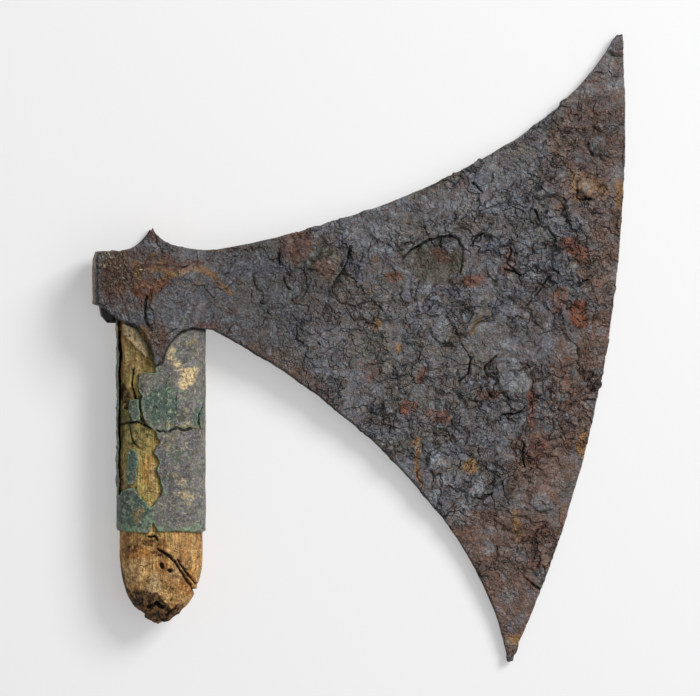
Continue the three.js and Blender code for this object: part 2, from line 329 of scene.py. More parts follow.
class Skin:
    """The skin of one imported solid, divided finely, as arrays that can be moved and painted in bulk."""

    # Two triangles that turn by less than this, in radians, are joined to a four-sided face.
    JOIN = 0.1
    # How often long edges are halved at most, and how often again near cracks.
    MOST_PASSES = 9
    CLOSE_PASSES = 3
    # How far from a crack's middle its painted mark fades out.
    CRACK_REACH = 1.4
    # An edge of the solid that turns by more than this, in radians, is sharp, and is sampled this often.
    SHARP = 0.5
    SAMPLE = 0.4

    def __init__(
        self,
        node: str,
        fine: float,
        coarse: float,
        facing: float = 0.1,
        close: Callable[[Array], Array] | None = None,
        closest: float = 0.42,
        lumps: tuple[tuple[float, float, float], ...] = (),
    ) -> None:
        """Copies a node's mesh, merges it and divides its long edges.

        Args:
            node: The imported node's name.
            fine: The longest edge allowed where the skin faces the camera.
            coarse: The longest edge allowed elsewhere.
            facing: How far up the skin has to face to count, from -1 to 1.
            close: Says for places in millimetres whether they need still finer division, or None.
            closest: The longest edge allowed there.
            lumps: Balls that need the same division on every side: x, y and radius each.
        """
        self.node = node
        self.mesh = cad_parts[node].data.copy()
        self.mesh.name = node + "_skin"
        work = bmesh.new()
        work.from_mesh(self.mesh)
        bmesh.ops.remove_doubles(work, verts=work.verts, dist=2e-6)
        work.normal_update()
        self._solid = BVHTree.FromBMesh(work)
        self._sharp = [
            ([vert.co.copy() for vert in edge.verts], [face.normal.copy() for face in edge.link_faces])
            for edge in work.edges
            if edge.calc_face_angle(0.0) > self.SHARP
        ]
        bmesh.ops.join_triangles(
            work, faces=work.faces, angle_face_threshold=self.JOIN, angle_shape_threshold=math.pi
        )
        for _ in range(self.MOST_PASSES):
            long_edges = self._long_edges(work, fine, coarse, facing)
            if not long_edges:
                break
            self._halve(work, long_edges)
        for _ in range(self.CLOSE_PASSES if close else 0):
            long_edges = self._long_edges(work, closest, coarse, -2.0)
            middles = np.array([(edge.verts[0].co + edge.verts[1].co) / 2 for edge in long_edges]) / MM
            seen = np.array([max(face.normal.z for face in edge.link_faces) > facing for edge in long_edges])
            wanted = close(middles) & seen
            for x, y, radius in lumps:
                wanted |= np.hypot(middles[:, 0] - x, middles[:, 1] - y) < radius * 1.2
            self._halve(work, [edge for edge, split in zip(long_edges, wanted) if split])
        bmesh.ops.triangulate(work, faces=work.faces)
        for face in work.faces:
            face.smooth = True
        work.to_mesh(self.mesh)
        work.free()
        if "custom_normal" in self.mesh.attributes:
            self.mesh.attributes.remove(self.mesh.attributes["custom_normal"])
        count = len(self.mesh.vertices)
        flat = np.empty(count * 3)
        self.mesh.vertices.foreach_get("co", flat)
        self.places = flat.reshape(count, 3) / MM
        self.rest = self.places.copy()
        self.mesh.vertices.foreach_get("normal", flat)
        self.normals = flat.reshape(count, 3).copy()
        self._ragged: Array | None = None
        self._fray: Array | None = None

    @staticmethod
    def _long_edges(
        work: bmesh.types.BMesh, fine: float, coarse: float, facing: float
    ) -> list[bmesh.types.BMEdge]:
        """Lists the edges that are too long.

        Args:
            work: The mesh.
            fine: The longest edge allowed where the skin faces the camera.
            coarse: The longest edge allowed elsewhere.
            facing: How far up the skin has to face to count.

        Returns:
            The edges.
        """
        work.normal_update()
        found = []
        for edge in work.edges:
            length = edge.calc_length() / MM
            if length > fine:
                seen = any(face.normal.z > facing for face in edge.link_faces)
                if seen or length > coarse:
                    found.append(edge)
        return found

    def _halve(self, work: bmesh.types.BMesh, edges: list[bmesh.types.BMEdge]) -> None:
        """Halves edges and joins the triangles that result, which keeps them from turning to slivers.

        Args:
            work: The mesh, changed in place.
            edges: The edges.
        """
        bmesh.ops.subdivide_edges(work, edges=edges, cuts=1, use_grid_fill=True)
        many_sided = [face for face in work.faces if len(face.verts) > 4]
        bmesh.ops.triangulate(work, faces=many_sided, quad_method="BEAUTY", ngon_method="BEAUTY")
        triangles = [face for face in work.faces if len(face.verts) == 3]
        bmesh.ops.join_triangles(
            work, faces=triangles, angle_face_threshold=self.JOIN, angle_shape_threshold=math.pi
        )

    def top(self, x: float, y: float) -> float:
        """Returns the height of the solid's upper side at a place, in millimetres."""
        hit = self._solid.ray_cast(Vector((x * MM, y * MM, 1.0)), Vector((0.0, 0.0, -1.0)))
        return hit[0].z / MM if hit[0] is not None else 0.0

    def thickness(self) -> Array:
        """Returns how thick the solid is under each point, along its normal."""
        deep = np.empty(len(self.places))
        for index, (place, normal) in enumerate(zip(self.rest * MM, self.normals)):
            inward = Vector(-normal)
            hit = self._solid.ray_cast(Vector(place) + inward * 2e-5, inward)
            deep[index] = hit[3] / MM if hit[3] is not None else 1.0
        return deep

    def near_edges(self, reach: float, toward: Vector | None = None) -> Array:
        """Marks the points near a sharp edge of the solid.

        Args:
            reach: How far from the edge the mark fades out.
            toward: The way one side of the edge has to face, or None for every sharp edge.

        Returns:
            One number for each point, 1 at an edge and 0 beyond the reach.
        """
        samples = []
        for (start, end), normals in self._sharp:
            if toward is None or max(normal.dot(toward) for normal in normals) > 0.4:
                steps = max(1, int((end - start).length / MM / self.SAMPLE))
                samples += [start.lerp(end, step / steps) for step in range(steps + 1)]
        tree = KDTree(len(samples))
        for index, place in enumerate(samples):
            tree.insert(place, index)
        tree.balance()
        gaps = np.array([tree.find(place)[2] for place in self.rest * MM]) / MM
        return 1.0 - smooth(0.0, reach, gaps)

    def near_node(self, node: str, reach: float) -> Array:
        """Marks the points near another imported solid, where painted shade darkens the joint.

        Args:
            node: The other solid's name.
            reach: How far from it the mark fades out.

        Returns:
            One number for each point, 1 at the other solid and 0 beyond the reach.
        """
        work = bmesh.new()
        work.from_mesh(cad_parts[node].data)
        tree = BVHTree.FromBMesh(work)
        work.free()
        found = [tree.find_nearest(Vector(place), reach * MM * 1.2)[3] for place in self.rest * MM]
        gaps = np.array([FAR if gap is None else gap / MM for gap in found])
        return 1.0 - smooth(0.2 * reach, reach, gaps)

    def paint(self, stain: Stain, values: Array) -> None:
        """Stores one number for each point under the stain's name, for a material to read.

        Args:
            stain: What the numbers mark.
            values: One number from 0 to 1 for each point.
        """
        layers = self.mesh.attributes
        layer = layers.get(stain.value) or layers.new(stain.value, "FLOAT", "POINT")
        layer.data.foreach_set("value", np.clip(values, 0.0, 1.0).astype(np.float32))

    def stained(self, marks: tuple[Patch | Streak, ...], stain: Stain, noise: Noise) -> Array:
        """Adds up the patches and streaks of one stain, with ragged borders.

        Args:
            marks: The patches and streaks, of any stain.
            stain: The stain wanted.
            noise: What makes the borders ragged.

        Returns:
            One number for each point, 0 outside and up to the patches' strength inside.
        """
        if self._ragged is None:
            self._ragged = noise.warped(self.rest, 7.0, 2.2, 400)
            self._fray = noise.layered(self.rest, 3.0, 3, 430) * 0.25
        ragged, fray = self._ragged, self._fray
        total = np.zeros(len(self.places))
        for mark in (mark for mark in marks if mark.stain is stain):
            if isinstance(mark, Streak):
                away = line_gap(mark.points, ragged * 0.25 + self.rest * 0.75) / mark.width
                inside = 1.0 - smooth(0.5, 1.3, away + fray)
            else:
                inside = 1.0 - smooth(0.6, 1.15, mark.spread(ragged) + fray)
            total = np.maximum(total, inside * mark.strength)
        return total

    def rises(self, marks: tuple[Patch | Streak, ...], noise: Noise) -> Array:
        """Adds up how far the patches stand up, each with a steep border.

        Args:
            marks: The patches and streaks.
            noise: What makes the borders ragged.

        Returns:
            Millimetres for each point.
        """
        ragged = noise.warped(self.rest, 6.0, 1.5, 470)
        total = np.zeros(len(self.places))
        for mark in (mark for mark in marks if isinstance(mark, Patch) and mark.rise):
            total += mark.rise * (1.0 - smooth(0.88, 1.08, mark.spread(ragged)))
        return total

    def crack_gap(self, lines: tuple[Crack, ...], noise: Noise) -> Array:
        """Works out how far each point lies from the nearest listed crack.

        Args:
            lines: The cracks.
            noise: What makes them wander.

        Returns:
            Millimetres for each point. A wide crack counts as nearer.
        """
        wander = noise.warped(noise.warped(self.rest, 7.0, 0.6, 500), 2.2, 0.3, 505)
        gap = np.full(len(self.places), FAR)
        for line in lines:
            gap = np.minimum(gap, line_gap(line.points, wander) - 0.4 * (line.width - 0.5))
        pinch = 0.2 * smooth(0.0, 0.7, noise.plain(self.rest, 3.5, 520))
        return np.maximum(gap + pinch, 0.0)

    def edge_gap(self, points: Line, noise: Noise) -> Array:
        """Works out how far inside an outline each point lies.

        Args:
            points: The outline's corners.
            noise: What makes it ragged.

        Returns:
            Millimetres for each point, below zero outside.
        """
        wander = noise.warped(self.rest, 3.0, 0.5, 560)
        inside = np.zeros(len(wander), bool)
        for (x0, y0), (x1, y1) in zip(points, points[1:] + points[:1]):
            crosses = (y0 > wander[:, 1]) != (y1 > wander[:, 1])
            where = x0 + (wander[:, 1] - y0) * (x1 - x0) / ((y1 - y0) or 1.0)
            inside ^= crosses & (wander[:, 0] < where)
        gap = line_gap(points + points[:1], wander)
        return np.where(inside, gap, -gap)

    def finish(self, material: bpy.types.Material) -> bpy.types.Object:
        """Writes the moved points back and makes the object that stands for the node.

        Args:
            material: The finish.

        Returns:
            The new object.
        """
        self.mesh.vertices.foreach_set("co", (self.places * MM).astype(np.float32).ravel())
        self.mesh.update()
        self.mesh.materials.clear()
        self.mesh.materials.append(material)
        piece = bpy.data.objects.new(self.node + "_surface", self.mesh)
        bpy.context.scene.collection.objects.link(piece)
        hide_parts(self.node)
        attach(piece, "root")
        log.info("%s: %d triangles", piece.name, len(self.mesh.polygons))
        return piece


def linear(hex_colour: str) -> tuple[float, float, float, float]:
    """Turns an sRGB hex colour into Blender's linear one.

    Args:
        hex_colour: Six hex digits.

    Returns:
        Red, green, blue and alpha.
    """
    parts = [int(hex_colour[i : i + 2], 16) / 255 for i in (0, 2, 4)]
    bent = [part / 12.92 if part <= 0.04045 else ((part + 0.055) / 1.055) ** 2.4 for part in parts]
    return (bent[0], bent[1], bent[2], 1.0)


def add(tree: bpy.types.NodeTree, kind: str, links: dict[Any, Any] | None = None, **settings: Any) -> Any:
    """Adds a node with its settings, its values and its links.

    Args:
        tree: The material's node tree.
        kind: The node's type, without "ShaderNode".
        links: For an input's name or number, a value or the output that feeds it.
        **settings: The node's own properties.

    Returns:
        The node.
    """
    node = tree.nodes.new("ShaderNode" + kind)
    for name, value in settings.items():
        setattr(node, name, value)
    for name, value in (links or {}).items():
        if isinstance(value, bpy.types.NodeSocket):
            tree.links.new(value, node.inputs[name])
        else:
            node.inputs[name].default_value = value
    return node


class Paintwork:
    """Builds up one material's colour and height, layer by layer."""

    def __init__(self, name: str) -> None:
        """Starts a material whose patterns are placed in millimetres on the object.

        Args:
            name: The material's name.
        """
        self.material = bpy.data.materials.new(name)
        self.material.use_nodes = True
        self.tree = self.material.node_tree
        self.shader = self.tree.nodes["Principled BSDF"]
        coordinates = add(self.tree, "TexCoord")
        self.place = add(
            self.tree, "Mapping", {"Vector": coordinates.outputs["Object"], "Scale": (1 / MM, 1 / MM, 1 / MM)}
        ).outputs[0]
        self.colour: Any = None
        self.height: Any = None

    def warp(self, size: float, reach: float) -> Any:
        """Places shifted by noise, so that a pattern read there curls.

        Args:
            size: The noise's size in millimetres.
            reach: How far a place shifts, in millimetres.

        Returns:
            The shifted places.
        """
        noise = add(self.tree, "TexNoise", {"Vector": self.place, "Scale": 1 / size, "Detail": 3.0})
        shift = add(
            self.tree, "VectorMath", {0: noise.outputs["Color"], 1: (0.5, 0.5, 0.5)}, operation="SUBTRACT"
        )
        scaled = add(self.tree, "VectorMath", {0: shift.outputs[0], "Scale": reach * 4.0}, operation="SCALE")
        return add(self.tree, "VectorMath", {0: self.place, 1: scaled.outputs[0]}, operation="ADD").outputs[0]

    def pattern(
        self,
        size: float,
        low: float = 0.35,
        high: float = 0.65,
        detail: float = 5.0,
        roughness: float = 0.6,
        place: Any = None,
        stretch: tuple[float, float, float] = (1.0, 1.0, 1.0),
        ridged: bool = False,
    ) -> Any:
        """A cloudy pattern with its contrast set.

        Args:
            size: Its size in millimetres.
            low: The noise value that turns to 0.
            high: The noise value that turns to 1.
            detail: How many finer sizes it holds.
            roughness: How strong they are.
            place: Where it is read, or None for the plain places.
            stretch: How many times longer it is in each direction.
            ridged: Whether it is made of thin creases.

        Returns:
            The pattern, 0 to 1.
        """
        squash = tuple(1 / part for part in stretch)
        scale = add(self.tree, "VectorMath", {0: place or self.place, 1: squash}, operation="MULTIPLY")
        noise = add(
            self.tree,
            "TexNoise",
            {"Vector": scale.outputs[0], "Scale": 1 / size, "Detail": detail, "Roughness": roughness},
            noise_type="RIDGED_MULTIFRACTAL" if ridged else "FBM",
        )
        span = {"Value": noise.outputs[0], "From Min": low, "From Max": high}
        return add(self.tree, "MapRange", span, interpolation_type="SMOOTHSTEP").outputs[0]

    def frayed(self, value: Any, reach: float, size: float, detail: float, roughness: float) -> Any:
        """Shifts a value by fine noise, so that a border drawn from it is ragged.

        Args:
            value: The value.
            reach: How far it shifts.
            size: The noise's size in millimetres.
            detail: How many finer sizes it holds.
            roughness: How strong they are.

        Returns:
            The shifted value.
        """
        look = {"Vector": self.place, "Scale": 1 / size, "Detail": detail, "Roughness": roughness}
        noise = add(self.tree, "TexNoise", look)
        around = {0: noise.outputs[0], 1: reach * 4.0, 2: -reach * 2.0}
        shift = add(self.tree, "Math", around, operation="MULTIPLY_ADD")
        return add(self.tree, "Math", {0: value, 1: shift.outputs[0]}, operation="ADD").outputs[0]

    def scarp(self, field: Any, width: float) -> tuple[Any, Any]:
        """A low cliff along the line where a field crosses its middle, and the line at its foot, where the
        materials paint shade.

        Args:
            field: A value that crosses 0.5.
            width: The cliff's width, in the field's own terms.

        Returns:
            The step from 0 to 1, and the line, 1 on it and 0 off it.
        """
        rise = {"Value": field, "From Min": 0.5 - width, "From Max": 0.5 + width}
        step = add(self.tree, "MapRange", rise, interpolation_type="SMOOTHSTEP")
        off = add(self.tree, "Math", {0: field, 1: 0.5 - width}, operation="SUBTRACT")
        gap = add(self.tree, "Math", {0: off.outputs[0]}, operation="ABSOLUTE")
        fall = {"Value": gap.outputs[0], "From Max": width, "To Min": 1.0, "To Max": 0.0}
        foot = add(self.tree, "MapRange", fall, interpolation_type="SMOOTHSTEP")
        return step.outputs[0], foot.outputs[0]

    def mark(self, stain: Stain, low: float = 0.0, high: float = 1.0, ragged: float = 0.0) -> Any:
        """Reads what the mesh was painted with, with its contrast set and its border made ragged.

        Args:
            stain: The stain.
            low: The painted value that turns to 0.
            high: The painted value that turns to 1.
            ragged: How far finer noise shifts the values.

        Returns:
            The mask, 0 to 1.
        """
        value = add(self.tree, "Attribute", attribute_name=stain.value).outputs["Fac"]
        if ragged:
            value = self.frayed(value, ragged, 1.0 / 0.9, 4.0, 0.6)
        span = {"Value": value, "From Min": low, "From Max": high}
        return add(self.tree, "MapRange", span, interpolation_type="SMOOTHSTEP").outputs[0]

    def product(self, masks: tuple[Any, ...], share: float) -> Any:
        """Multiplies masks with each other and with a number.

        Args:
            masks: The masks.
            share: The number.

        Returns:
            The result.
        """
        total: Any = share
        for mask in masks:
            pair = {0: mask, 1: total}
            total = add(self.tree, "Math", pair, operation="MULTIPLY", use_clamp=True).outputs[0]
        return total

    def coat(self, colour: str, *masks: Any, share: float = 1.0) -> None:
        """Lays a colour over the others, or starts with it.

        Args:
            colour: Its sRGB hex value.
            *masks: Where it lies and how thickly, 0 to 1 each.
            share: How much of it shows at most.
        """
        if self.colour is None:
            self.colour = linear(colour)
            return
        mix = add(
            self.tree,
            "Mix",
            {"Factor": self.product(masks, share), 6: self.colour, 7: linear(colour)},
            data_type="RGBA",
        )
        self.colour = mix.outputs[2]

    def shade(self, mask: Any, darkest: float, lightest: float) -> None:
        """Multiplies the colour by an amount that follows a mask.

        Args:
            mask: The mask, 0 to 1.
            darkest: The amount at 0.
            lightest: The amount at 1.
        """
        line = {0: mask, 1: lightest - darkest, 2: darkest}
        amount = add(self.tree, "Math", line, operation="MULTIPLY_ADD")
        scaled = add(self.tree, "VectorMath", {0: self.colour, "Scale": amount.outputs[0]}, operation="SCALE")
        self.colour = scaled.outputs[0]

    def stack(self, height: float, *masks: Any) -> None:
        """Adds a pattern to the height.

        Args:
            height: How far it stands up in millimetres, below zero for a groove.
            *masks: The pattern, as masks to be multiplied.
        """
        total = masks[0]
        for mask in masks[1:]:
            total = add(self.tree, "Math", {0: mask, 1: total}, operation="MULTIPLY").outputs[0]
        sum_of = {0: total, 1: height, 2: 0.0 if self.height is None else self.height}
        self.height = add(self.tree, "Math", sum_of, operation="MULTIPLY_ADD").outputs[0]

    def done(
        self, mask: Any, roughness: tuple[float, float], specular: float, deepen: float = 1.0
    ) -> bpy.types.Material:
        """Connects everything to the shader.

        Args:
            mask: The mask that the roughness follows.
            roughness: The roughness where the mask is 0 and where it is 1.
            specular: How strongly it reflects, 0.5 for a plain surface.
            deepen: How many times deeper the height looks than it is, which soft light needs.

        Returns:
            The material.
        """
        bump = add(self.tree, "Bump", {"Height": self.height, "Strength": 1.0, "Distance": deepen * MM})
        self.tree.links.new(self.colour, self.shader.inputs["Base Color"])
        self.tree.links.new(bump.outputs[0], self.shader.inputs["Normal"])
        dull = {"Value": mask, "To Min": roughness[0], "To Max": roughness[1]}
        rough = add(self.tree, "MapRange", dull, interpolation_type="SMOOTHSTEP")
        self.tree.links.new(rough.outputs[0], self.shader.inputs["Roughness"])
        self.shader.inputs["Specular IOR Level"].default_value = specular
        return self.material


@dataclass(frozen=True)
class CorrodedIron:
    """Wrought iron, forged by hand, then turned to a scabby dark crust by a thousand years in soil.

    Sizes are millimetres. The real grain is under 0.2, too fine to show, so it is drawn at 0.8, and the
    height is drawn deeper than it is, because it has to show in soft light from 1.9 metres away.
    """

    grey: str = "71757E"
    low: str = "67635D"
    pale: str = "90969D"
    brown: str = "735A4D"
    umber: str = "694A3D"
    rust: str = "92502F"
    ochre: str = "A0743C"
    sand: str = "CDB994"
    olive: str = "66614E"
    blue: str = "636A7A"
    black: str = "0B0A0A"
    grain: float = 0.8
    wrinkle: float = 1.9
    scab: float = 6.0
    flake: float = 2.6
    deepen: float = 1.8

    def material(self) -> bpy.types.Material:
        """Returns the iron's material. The eye sees curled flakes, black clefts and patches of rust."""
        work = Paintwork("corroded_wrought_iron")
        loose, tight = work.warp(6.0, 1.6), work.warp(2.0, 0.55)
        turned = {"Value": work.mark(Stain.CALM), "To Min": 1.0, "To Max": 0.12}
        lively = add(work.tree, "MapRange", turned, interpolation_type="SMOOTHSTEP").outputs[0]
        scabs = add(work.tree, "TexNoise", {"Vector": loose, "Scale": 1 / self.scab, "Detail": 2.5})
        flakes = add(work.tree, "TexNoise", {"Vector": tight, "Scale": 1 / self.flake, "Detail": 1.5})
        step, foot = work.scarp(scabs.outputs[0], 0.028)
        flake_step, flake_foot = work.scarp(flakes.outputs[0], 0.05)
        big_step, big_foot = work.scarp(work.frayed(work.mark(Stain.SCARP), 0.02, 1.0 / 1.1, 3.0, 0.5), 0.03)
        wrinkles = work.pattern(self.wrinkle, 0.1, 1.0, 1.0, 0.5, tight, ridged=True)
        grain = work.pattern(self.grain, 0.3, 0.7, 2.0, 0.6, tight)
        rough = work.pattern(11.0, 0.38, 0.58, 3.0, 0.5)
        lumps = work.pattern(1.3, 0.3, 0.7, 1.0, 0.5, tight)
        small = work.pattern(1.2, 0.32, 0.68, 5.0, 0.65, tight)
        middle = work.pattern(5.0, 0.4, 0.6, 6.0, 0.65, loose)
        broad = work.pattern(22.0, 0.42, 0.58, 5.0, 0.6, loose)
        patchy = work.pattern(8.0, 0.44, 0.56, 3.0, 0.5)
        work.coat(self.grey)
        work.coat(self.low, middle, share=0.7)
        work.coat(self.umber, broad, patchy, share=0.3)
        work.coat(self.olive, work.pattern(15.0, 0.48, 0.6, 4.0, 0.6), share=0.35)
        work.coat(self.blue, work.pattern(9.0, 0.5, 0.62, 4.0, 0.6, loose), share=0.5)
        work.coat(self.olive, work.mark(Stain.OLIVE, 0.0, 1.0, 0.25), share=0.9)
        browned = work.mark(Stain.BROWN, 0.0, 0.9, 0.3)
        work.coat(self.brown, browned, work.pattern(6.0, 0.3, 0.5, 5.0, 0.6), share=0.9)
        plated = work.mark(Stain.PLATE, 0.1, 0.8, 0.3)
        work.coat(self.pale, plated, work.pattern(1.4, 0.3, 0.56, 4.0, 0.65, tight), share=0.8)
        tinted = work.pattern(3.4, 0.5, 0.64, 5.0, 0.7, loose)
        work.coat(self.umber, tinted, share=0.5)
        work.coat(self.rust, tinted, work.mark(Stain.BROWN), work.pattern(6.0, 0.46, 0.6, 3.0), share=0.45)
        pebbles = work.pattern(1.5, 0.46, 0.6, 2.0, 0.6, tight)
        sandy = work.mark(Stain.SAND, 0.1, 0.9, 0.3)
        work.coat(self.black, sandy, share=0.35)
        work.coat(self.ochre, sandy, pebbles, share=0.5)
        work.coat(self.sand, sandy, work.pattern(0.9, 0.53, 0.64, 2.0, 0.6), share=0.95)
        yellowed = work.mark(Stain.OCHRE, 0.0, 0.85, 0.45)
        work.coat(self.ochre, yellowed, work.pattern(2.6, 0.3, 0.5, 5.0, 0.7), share=0.95)
        work.coat(self.umber, work.mark(Stain.RUST, 0.0, 0.5, 0.4), share=0.7)
        rusted = work.mark(Stain.RUST, 0.25, 1.1, 0.5)
        work.coat(self.rust, rusted, work.pattern(2.6, 0.34, 0.54, 5.0, 0.7), share=0.9)
        work.coat(self.pale, work.pattern(6.5, 0.5, 0.66, 5.0, 0.65, loose), small, share=0.5)
        work.shade(work.pattern(3.2, 0.34, 0.66, 4.0, 0.6, loose), 0.74, 1.26)
        work.shade(grain, 0.72, 1.28)
        work.shade(small, 0.82, 1.18)
        # Painted shade and highlight: the colour is darker in the wrinkles' creases and lighter on their
        # crests.
        work.shade(wrinkles, 0.84, 1.1)
        # Painted shade: black along the feet of the scab, flake and big scarp cliffs, and where the mesh is
        # marked with painted shade and darker marks.
        work.coat(self.black, foot, patchy, lively, share=0.9)
        work.coat(self.black, flake_foot, work.pattern(7.0, 0.52, 0.64, 3.0), lively, share=0.8)
        work.coat(self.black, big_foot, work.mark(Stain.OPEN), share=0.85)
        work.coat(self.black, work.mark(Stain.SHADE_AND_DARK_MARKS, 0.0, 1.0, 0.3), share=0.9)
        cleft = work.mark(Stain.CRACK, 0.68, 0.86, 0.15)
        work.coat(self.black, cleft)
        work.stack(1.2, step, lively)
        work.stack(0.6, flake_step, lively, rough)
        work.stack(0.6, big_step)
        work.stack(0.38, wrinkles)
        work.stack(0.3, lumps, rough)
        work.stack(0.12, grain)
        work.stack(0.5, sandy, pebbles)
        work.stack(-0.8, cleft)
        return work.done(small, (0.7, 0.42), 0.5, self.deepen)


@dataclass(frozen=True)
class OldWood:
    """Ash or a like hardwood, hewn round, rotted in wet soil and dried. Copper salts turned it olive.

    Sizes are millimetres. Real pores are 0.1 to 0.3 wide, too fine to show, so the grain is drawn at 0.7.
    """

    tan: str = "E9B876"
    deep: str = "9E6A3A"
    pale: str = "F0CF9C"
    olive: str = "DCC376"
    umber: str = "6C492A"
    green: str = "4E6345"
    amber: str = "C07A34"
    black: str = "130C07"
    grain: float = 0.7
    grain_run: float = 14.0
    chip: float = 3.2
    deepen: float = 1.5

    def material(self) -> bpy.types.Material:
        """Returns the wood's material. The eye sees long grain, dark rot and an olive stain."""
        work = Paintwork("rotted_hardwood")
        loose = work.warp(5.0, 0.9)
        fibres = work.pattern(self.grain, 0.3, 0.68, 4.0, 0.6, stretch=(1.0, self.grain_run, 1.0))
        streaks = work.pattern(2.6, 0.42, 0.62, 4.0, 0.6, stretch=(1.0, 7.0, 1.0))
        broad = work.pattern(8.0, 0.42, 0.64, 5.0, 0.6, loose, stretch=(1.0, 1.7, 1.0))
        small = work.pattern(1.3, 0.3, 0.7, 5.0, 0.65)
        olive = work.mark(Stain.OLIVE)
        work.coat(self.tan)
        work.coat(self.deep, broad, share=0.75)
        work.coat(self.deep, streaks, share=0.4)
        work.coat(self.olive, olive)
        work.coat(self.umber, olive, broad, share=0.55)
        work.coat(self.umber, olive, streaks, share=0.3)
        work.coat(self.amber, work.mark(Stain.RUST, 0.05, 0.95, 0.4), share=0.7)
        work.coat(self.pale, work.mark(Stain.SAND, 0.0, 1.0, 0.3), small)
        crust = work.mark(Stain.GREEN, 0.0, 0.8, 0.4)
        work.coat(self.green, crust, work.pattern(2.6, 0.4, 0.56, 5.0, 0.65), share=0.9)
        work.coat(self.pale, work.mark(Stain.GREEN), work.pattern(1.6, 0.58, 0.68, 3.0, 0.6), share=0.6)
        work.shade(fibres, 0.66, 1.24)
        work.shade(small, 0.66, 1.34)
        work.shade(work.pattern(3.0, 0.36, 0.64, 5.0, 0.65, loose, stretch=(1.0, 1.6, 1.0)), 0.78, 1.2)
        rot = work.mark(Stain.ROT, 0.1, 0.75, 0.4)
        work.coat(self.umber, rot, share=0.75)
        work.coat(self.black, rot, work.pattern(1.9, 0.42, 0.58, 4.0, 0.65), share=0.88)
        chips = add(work.tree, "TexNoise", {"Vector": loose, "Scale": 1 / self.chip, "Detail": 3.0})
        step, foot = work.scarp(chips.outputs[0], 0.03)
        # Painted shade: black along the feet of the chipped steps, in the low places of the torn end and in
        # the joints with the head and the sheet.
        work.coat(self.black, foot, work.pattern(6.0, 0.48, 0.58, 3.0), share=0.7)
        work.coat(self.black, work.mark(Stain.SHADE_AND_DARK_MARKS, 0.05, 0.95, 0.2), share=0.93)
        cleft = work.mark(Stain.CRACK, 0.6, 0.84, 0.12)
        work.coat(self.black, cleft, share=0.95)
        work.stack(0.3, fibres)
        work.stack(0.3, small)
        work.stack(0.3, step)
        work.stack(-0.5, cleft)
        return work.done(small, (0.85, 0.62), 0.3, self.deepen)


@dataclass(frozen=True)
class TarnishedBrass:
    """Thin beaten brass sheet under a grey-brown tarnish, with green copper salts at its torn edges.

    Sizes are millimetres. Real specks of tarnish are about 0.1, too fine to show, so they are drawn at 0.6.
    """

    grey: str = "7E7A71"
    dark: str = "4B4947"
    mauve: str = "726869"
    pale: str = "BDB59C"
    teal: str = "465F52"
    verdigris: str = "96B894"
    moss: str = "5E7458"
    blue: str = "6A6A78"
    gold: str = "FFE2AC"
    ochre: str = "86744D"
    black: str = "12100D"
    speck: float = 0.6
    crust: float = 4.0

    def material(self) -> bpy.types.Material:
        """Returns the sheet's material. The eye sees speckled grey with green rims and bare spots."""
        work = Paintwork("tarnished_brass_sheet")
        loose, tight = work.warp(5.0, 1.2), work.warp(1.5, 0.4)
        broad = work.pattern(8.0, 0.42, 0.62, 5.0, 0.6, loose)
        small = work.pattern(1.3, 0.3, 0.7, 5.0, 0.7, tight)
        specks = work.pattern(self.speck, 0.35, 0.68, 3.0, 0.7)
        flecks = work.pattern(1.7, 0.52, 0.66, 4.0, 0.7, tight)
        green = work.mark(Stain.GREEN, 0.0, 0.9, 0.45)
        work.coat(self.grey)
        work.coat(self.dark, broad, share=0.75)
        work.coat(self.mauve, work.pattern(5.0, 0.48, 0.62, 3.0), share=0.45)
        work.coat(self.ochre, work.pattern(6.0, 0.54, 0.66, 5.0, 0.6, loose), share=0.5)
        work.coat(self.blue, work.pattern(3.6, 0.48, 0.6, 4.0, 0.65, loose), share=0.5)
        work.coat(self.moss, work.pattern(4.5, 0.56, 0.66, 4.0, 0.65, loose), share=0.5)
        work.coat(self.teal, green, share=0.85)
        work.coat(self.verdigris, green, flecks, share=0.55)
        work.coat(self.ochre, work.mark(Stain.SAND, 0.1, 0.8, 0.3))
        work.coat(self.pale, flecks, share=0.5)
        work.shade(small, 0.52, 1.46)
        work.shade(specks, 0.76, 1.3)
        halo = work.mark(Stain.GOLD, 0.0, 0.9, 0.45)
        bare = work.mark(Stain.GOLD, 0.32, 0.98, 0.5)
        work.coat(self.pale, halo, work.pattern(1.4, 0.42, 0.62, 4.0, 0.7), share=0.8)
        work.coat(self.ochre, bare, share=0.5)
        work.coat(self.gold, bare, work.pattern(1.2, 0.34, 0.62, 4.0, 0.7))
        rim = work.mark(Stain.RIM, 0.2, 0.9, 0.4)
        work.coat(self.moss, rim, share=0.75)
        work.coat(self.verdigris, rim, work.pattern(1.1, 0.4, 0.6, 3.0, 0.7), share=0.85)
        crust = add(work.tree, "TexNoise", {"Vector": loose, "Scale": 1 / self.crust, "Detail": 3.0})
        step, foot = work.scarp(crust.outputs[0], 0.02)
        # Painted shade: black along the feet of the crust's steps and where the sheet meets the head.
        work.coat(self.black, foot, work.pattern(6.0, 0.48, 0.58, 3.0), share=0.6)
        work.coat(self.black, work.mark(Stain.SHADE_AND_DARK_MARKS, 0.0, 0.9, 0.15), share=0.92)
        cleft = work.mark(Stain.CRACK, 0.62, 0.84, 0.12)
        work.coat(self.black, cleft)
        work.stack(0.2, small)
        work.stack(0.05, specks)
        work.stack(0.16, step)
        work.stack(0.12, flecks)
        work.stack(-0.4, cleft)
        shine = add(
            work.tree,
            "MapRange",
            {"Value": bare, "To Min": 0.05, "To Max": 0.3},
            interpolation_type="SMOOTHSTEP",
        )
        work.tree.links.new(shine.outputs[0], work.shader.inputs["Metallic"])
        return work.done(small, (0.7, 0.45), 0.45)


